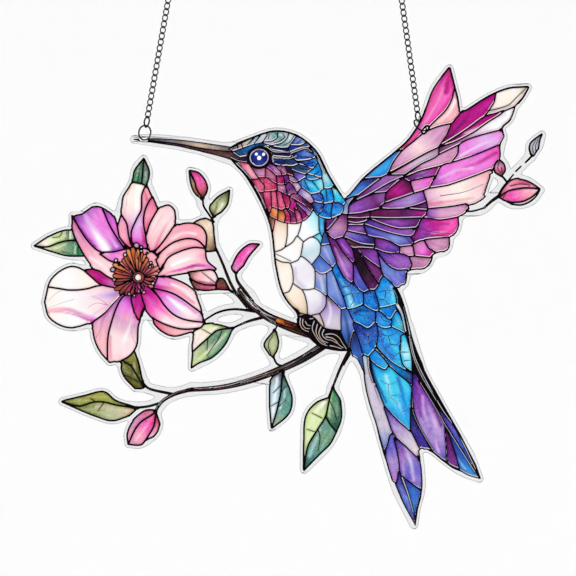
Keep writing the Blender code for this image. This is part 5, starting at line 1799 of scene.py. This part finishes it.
class PrintOperator:
    """Prints one group of coloured areas on both faces of the sheet."""

    group = ""
    ink = {}

    def execute(self, context):
        picture = drawn_picture()
        relief = context.scene.suncatcher_print.relief / MM
        areas = [area for area in picture.areas if area.group == self.group and area.colours]
        meshes = [area_mesh(area, picture.canvas, relief) for area in areas]
        meshes = [mesh for mesh in meshes if mesh]
        if not meshes:
            raise RuntimeError(f"the picture has no areas in the group {self.group}")
        material = ink_finish(f"{self.group} ink", **self.ink)
        for face, side in (("front", -1), ("back", 1)):
            printed_piece(f"{face}_{self.group}", joined(meshes), side, material)
        return {"FINISHED"}


class SUNCATCHER_OT_branches(PrintOperator, bpy.types.Operator):
    """Prints the branches and stems"""

    bl_idname = "suncatcher.branches"
    bl_label = "Branches"
    group = "branches"
    ink = dict(streaks=0.4, mottle=0.5, glow=0.25, rim=(0.06, 0.03, 0.03, 0.5), shade=0.6)


class SUNCATCHER_OT_leaves(PrintOperator, bpy.types.Operator):
    """Prints the leaves and buds"""

    bl_idname = "suncatcher.leaves"
    bl_label = "Leaves and Buds"
    group = "leaves"
    ink = dict(streaks=0.7, mottle=0.3, glow=0.35, rim=(0.13, 0.13, 0.1, 0.35), shade=0.5, veins=0.8)


class SUNCATCHER_OT_blossom(PrintOperator, bpy.types.Operator):
    """Prints the blossom"""

    bl_idname = "suncatcher.blossom"
    bl_label = "Blossom"
    group = "blossom"
    ink = dict(streaks=0.5, mottle=0.12, glow=0.55, rim=(0.62, 0.2, 0.42, 0.3), shade=0.3, veins=0.25)


class SUNCATCHER_OT_body(PrintOperator, bpy.types.Operator):
    """Prints the bird's breast, flank and claws"""

    bl_idname = "suncatcher.body"
    bl_label = "Breast and Claws"
    group = "body"
    ink = dict(streaks=0.3, mottle=0.08, glow=0.5, rim=(0.42, 0.38, 0.46, 0.3), shade=0.1)


class SUNCATCHER_OT_tail(PrintOperator, bpy.types.Operator):
    """Prints the tail feathers"""

    bl_idname = "suncatcher.tail"
    bl_label = "Tail"
    group = "tail"
    ink = dict(streaks=0.5, mottle=0.35, glow=0.4, rim=(0.06, 0.04, 0.3, 0.4), shade=0.5, veins=0.5)


class SUNCATCHER_OT_back(PrintOperator, bpy.types.Operator):
    """Prints the scale-like feathers of the back"""

    bl_idname = "suncatcher.back"
    bl_label = "Back"
    group = "back"
    ink = dict(streaks=0.5, mottle=0.45, glow=0.35, rim=(0.0, 0.12, 0.45, 0.4), shade=0.45, veins=1.0)


class SUNCATCHER_OT_wing(PrintOperator, bpy.types.Operator):
    """Prints the wing feathers"""

    bl_idname = "suncatcher.wing"
    bl_label = "Wing"
    group = "wing"
    ink = dict(streaks=0.5, mottle=0.25, glow=0.4, rim=(0.32, 0.03, 0.34, 0.4), shade=0.45, veins=0.35)


class SUNCATCHER_OT_throat(PrintOperator, bpy.types.Operator):
    """Prints the rose-red throat"""

    bl_idname = "suncatcher.throat"
    bl_label = "Throat"
    group = "throat"
    ink = dict(streaks=0.5, mottle=0.35, glow=0.35, rim=(0.36, 0.02, 0.18, 0.4), shade=0.5, veins=0.8)


class SUNCATCHER_OT_head(PrintOperator, bpy.types.Operator):
    """Prints the beak, crown, eye and nape"""

    bl_idname = "suncatcher.head"
    bl_label = "Head"
    group = "head"
    ink = dict(streaks=0.5, mottle=0.4, glow=0.35, rim=(0.02, 0.06, 0.28, 0.4), shade=0.5, veins=0.8)


class SUNCATCHER_OT_lines(bpy.types.Operator):
    """Prints the raised black lines between the areas"""

    bl_idname = "suncatcher.lines"
    bl_label = "Black Lines"

    def execute(self, context):
        picture = drawn_picture()
        ridge = context.scene.suncatcher_print.ridge / MM
        canvas = picture.canvas
        points, faces = triangles_within(picture.black, canvas.x, canvas.z, SHOULDER, 0)
        depth = (-sampled(picture.black, canvas.x, canvas.z, points)).clip(0, SHOULDER)
        parts = dict(points=points, faces=faces, height=ridge * (depth / SHOULDER) ** 0.5)
        material = line_finish()
        for face, side in (("front", -1), ("back", 1)):
            printed_piece(f"{face}_black_lines", parts, side, material)
        return {"FINISHED"}


def bent_wire(name, points, wire, closed=True):
    """The mesh of a bent wire whose middle line runs through points in millimetres."""
    curve = bpy.data.curves.new(name, "CURVE")
    curve.dimensions = "3D"
    curve.bevel_depth = wire / 2
    curve.bevel_resolution = 3
    curve.use_fill_caps = True
    spline = curve.splines.new("POLY")
    spline.points.add(len(points) - 1)
    for point, place in zip(spline.points, points):
        point.co = (*(Vector(place) * MM), 1)
    spline.use_cyclic_u = closed
    spline.use_smooth = True
    holder = bpy.data.objects.new(name, curve)
    mesh = bpy.data.meshes.new_from_object(holder)
    bpy.data.objects.remove(holder)
    bpy.data.curves.remove(curve)
    mesh.name = name
    mesh.materials.append(black_metal())
    return mesh


def link_points(half_length, half_width, low_twist, high_twist, steps):
    """The middle line of a twisted oval link, its long way up."""
    turn = 2 * np.pi * (np.arange(steps) + 0.5) / steps
    along, across = np.sin(turn), half_width * np.cos(turn)
    twist = np.radians(low_twist + (high_twist - low_twist) * (along + 1) / 2)
    return np.stack([across * np.cos(twist), across * np.sin(twist), half_length * along], axis=1)


def ring_points(radius, steps, gap=0.0):
    """A round ring's middle line in the XZ plane, open by a gap at its low side."""
    open_turn = gap / radius
    turn = np.pi + open_turn / 2 + (2 * np.pi - open_turn) * np.arange(steps) / (steps - bool(gap))
    return np.stack([radius * np.sin(turn), 0 * turn, radius * np.cos(turn)], axis=1)


def turned(*turns):
    """A rotation from pairs of degrees and axis letters."""
    matrix = Matrix.Identity(4)
    for degrees, axis in turns:
        matrix = matrix @ Matrix.Rotation(math.radians(degrees), 4, axis)
    return matrix


def metal_piece(node, mesh, rotation):
    """Puts a bent wire in the place of a plain one of the same size."""
    low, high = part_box(node)
    piece = bpy.data.objects.new(f"{node}_wire", mesh)
    piece.matrix_world = Matrix.Translation((low + high) / 2) @ rotation
    bpy.context.scene.collection.objects.link(piece)
    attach(piece, "root")
    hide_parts(node)


def black_metal():
    """The chains' and rings' one finish."""
    return bpy.data.materials.get("black metal") or metal_finish()


class SUNCATCHER_OT_rings(bpy.types.Operator):
    """Bends the jump rings through the sheet and the rings over the hooks"""

    bl_idname = "suncatcher.rings"
    bl_label = "Rings"

    def execute(self, context):
        settings = context.scene.suncatcher_chain
        steps = 2 * settings.steps
        open_ring = ring_points(JUMP_RING, steps, JUMP_GAP)
        jump = bent_wire("jump ring", open_ring, JUMP_WIRE * MM, closed=False)
        hook = bent_wire("hook ring", ring_points(HOOK_RING, steps), HOOK_WIRE * MM)
        for side, leg in LEGS.items():
            metal_piece(f"{side}_sheet_ring", jump, turned(*leg["ring"]))
            metal_piece(f"{side}_hook_ring", hook, turned((leg["lean"], "Y"), (-TWIST, "Z")))
        return {"FINISHED"}


class SUNCATCHER_OT_chains(bpy.types.Operator):
    """Bends the links of the two chains"""

    bl_idname = "suncatcher.chains"
    bl_label = "Chains"

    def execute(self, context):
        settings = context.scene.suncatcher_chain
        link = bent_wire("link", link_points(*LINK, -TWIST, TWIST, settings.steps), settings.wire)
        for side, leg in LEGS.items():
            points = link_points(*CONNECTOR, leg["twist"], TWIST, settings.steps + 8)
            connector = bent_wire("connector", points, CONNECTOR_WIRE * MM)
            lean = turned((leg["lean"], "Y"))
            metal_piece(f"{side}_connector", connector, lean)
            names = [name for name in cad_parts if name.startswith(f"{side}_link_")]
            for name in names:
                metal_piece(name, link, lean)
        return {"FINISHED"}


class SUNCATCHER_OT_stage(bpy.types.Operator):
    """Sets up the pale backdrop, the soft light and the camera"""

    bl_idname = "suncatcher.stage"
    bl_label = "Stage"

    def execute(self, context):
        scene = context.scene
        settings = scene.suncatcher_stage
        self.backdrop(scene)
        self.light(scene, settings)
        self.camera(scene, settings)
        return {"FINISHED"}

    def backdrop(self, scene):
        """A wide pale bowl, so that every view has the same plain ground."""
        profile = [(0, BOWL_LOW)]
        for a in np.linspace(0, math.pi / 2, 13):
            rise = BOWL_BEND * (1 - math.cos(a))
            profile.append((BOWL_FLAT + BOWL_BEND * math.sin(a), BOWL_LOW + rise))
        profile.append((BOWL_FLAT + BOWL_BEND, BOWL_TOP))
        turns = np.linspace(0, 2 * math.pi, BOWL_SIDES, endpoint=False)
        points = [(r * math.cos(a), r * math.sin(a), z) for r, z in profile for a in turns]
        faces = []
        for low in range(0, len(points) - BOWL_SIDES, BOWL_SIDES):
            high = low + BOWL_SIDES
            for a in range(BOWL_SIDES):
                b = (a + 1) % BOWL_SIDES
                faces.append((low + a, low + b, high + b, high + a))
        mesh = bpy.data.meshes.new("backdrop")
        mesh.from_pydata(points, [], faces)
        mesh.shade_smooth()
        finish = Finish("pale backdrop", Roughness=1.0, Specular_IOR_Level=0.0)
        finish.set("Base Color", display((0.97, 0.97, 0.97)))
        mesh.materials.append(finish.material)
        bowl = bpy.data.objects.new("backdrop", mesh)
        scene.collection.objects.link(bowl)

    def light(self, scene, settings):
        world = bpy.data.worlds.new("soft sky")
        world.use_nodes = True
        sky = world.node_tree.nodes["Background"]
        sky.inputs["Color"].default_value = (1, 1, 1, 1)
        sky.inputs["Strength"].default_value = settings.sky
        scene.world = world
        scene.view_settings.view_transform = "Standard"
        for name, x in (("left lamp", -LAMP_SIDE), ("right lamp", LAMP_SIDE)):
            lamp = bpy.data.lights.new(name, "AREA")
            lamp.shape = "DISK"
            lamp.size = LAMP_SIZE
            lamp.energy = settings.lamp_power
            holder = bpy.data.objects.new(name, lamp)
            place = Vector((x, -LAMP_FRONT, MIDDLE + LAMP_ABOVE))
            aim = Vector((0, 0, MIDDLE)) - place
            holder.location = place
            holder.rotation_euler = aim.to_track_quat("-Z", "Y").to_euler()
            scene.collection.objects.link(holder)

    def camera(self, scene, settings):
        eye = bpy.data.cameras.new("camera")
        eye.sensor_width = SENSOR
        eye.lens = SENSOR * settings.distance / settings.view_width
        holder = bpy.data.objects.new("camera", eye)
        holder.location = (0, -settings.distance, MIDDLE + settings.camera_height)
        holder.rotation_euler = (math.pi / 2, 0, 0)
        scene.collection.objects.link(holder)
        scene.camera = holder


STEPS = (
    SUNCATCHER_OT_sheet,
    SUNCATCHER_OT_branches,
    SUNCATCHER_OT_leaves,
    SUNCATCHER_OT_blossom,
    SUNCATCHER_OT_body,
    SUNCATCHER_OT_tail,
    SUNCATCHER_OT_back,
    SUNCATCHER_OT_wing,
    SUNCATCHER_OT_throat,
    SUNCATCHER_OT_head,
    SUNCATCHER_OT_lines,
    SUNCATCHER_OT_rings,
    SUNCATCHER_OT_chains,
    SUNCATCHER_OT_stage,
)
SETTINGS = {
    "suncatcher_sheet": SheetSettings,
    "suncatcher_print": PrintSettings,
    "suncatcher_chain": ChainSettings,
    "suncatcher_stage": StageSettings,
}


class SUNCATCHER_PT_panel(bpy.types.Panel):
    """The suncatcher's settings and its steps in order"""

    bl_idname = "SUNCATCHER_PT_panel"
    bl_label = "Suncatcher"
    bl_space_type = "VIEW_3D"
    bl_region_type = "UI"
    bl_category = "Suncatcher"

    def draw(self, context):
        for name in SETTINGS:
            box = self.layout.box()
            settings = getattr(context.scene, name)
            for key in settings.__annotations__:
                box.prop(settings, key)
        for step in STEPS:
            self.layout.operator(step.bl_idname)


CLASSES = (*SETTINGS.values(), *STEPS, SUNCATCHER_PT_panel)


def register():
    for kind in CLASSES:
        bpy.utils.register_class(kind)
    for name, kind in SETTINGS.items():
        setattr(bpy.types.Scene, name, PointerProperty(type=kind))


def unregister():
    for name in SETTINGS:
        delattr(bpy.types.Scene, name)
    for kind in reversed(CLASSES):
        bpy.utils.unregister_class(kind)


def main():
    register()
    for step in STEPS:
        area, name = step.bl_idname.split(".")
        getattr(getattr(bpy.ops, area), name)()


if __name__ == "__main__":
    main()
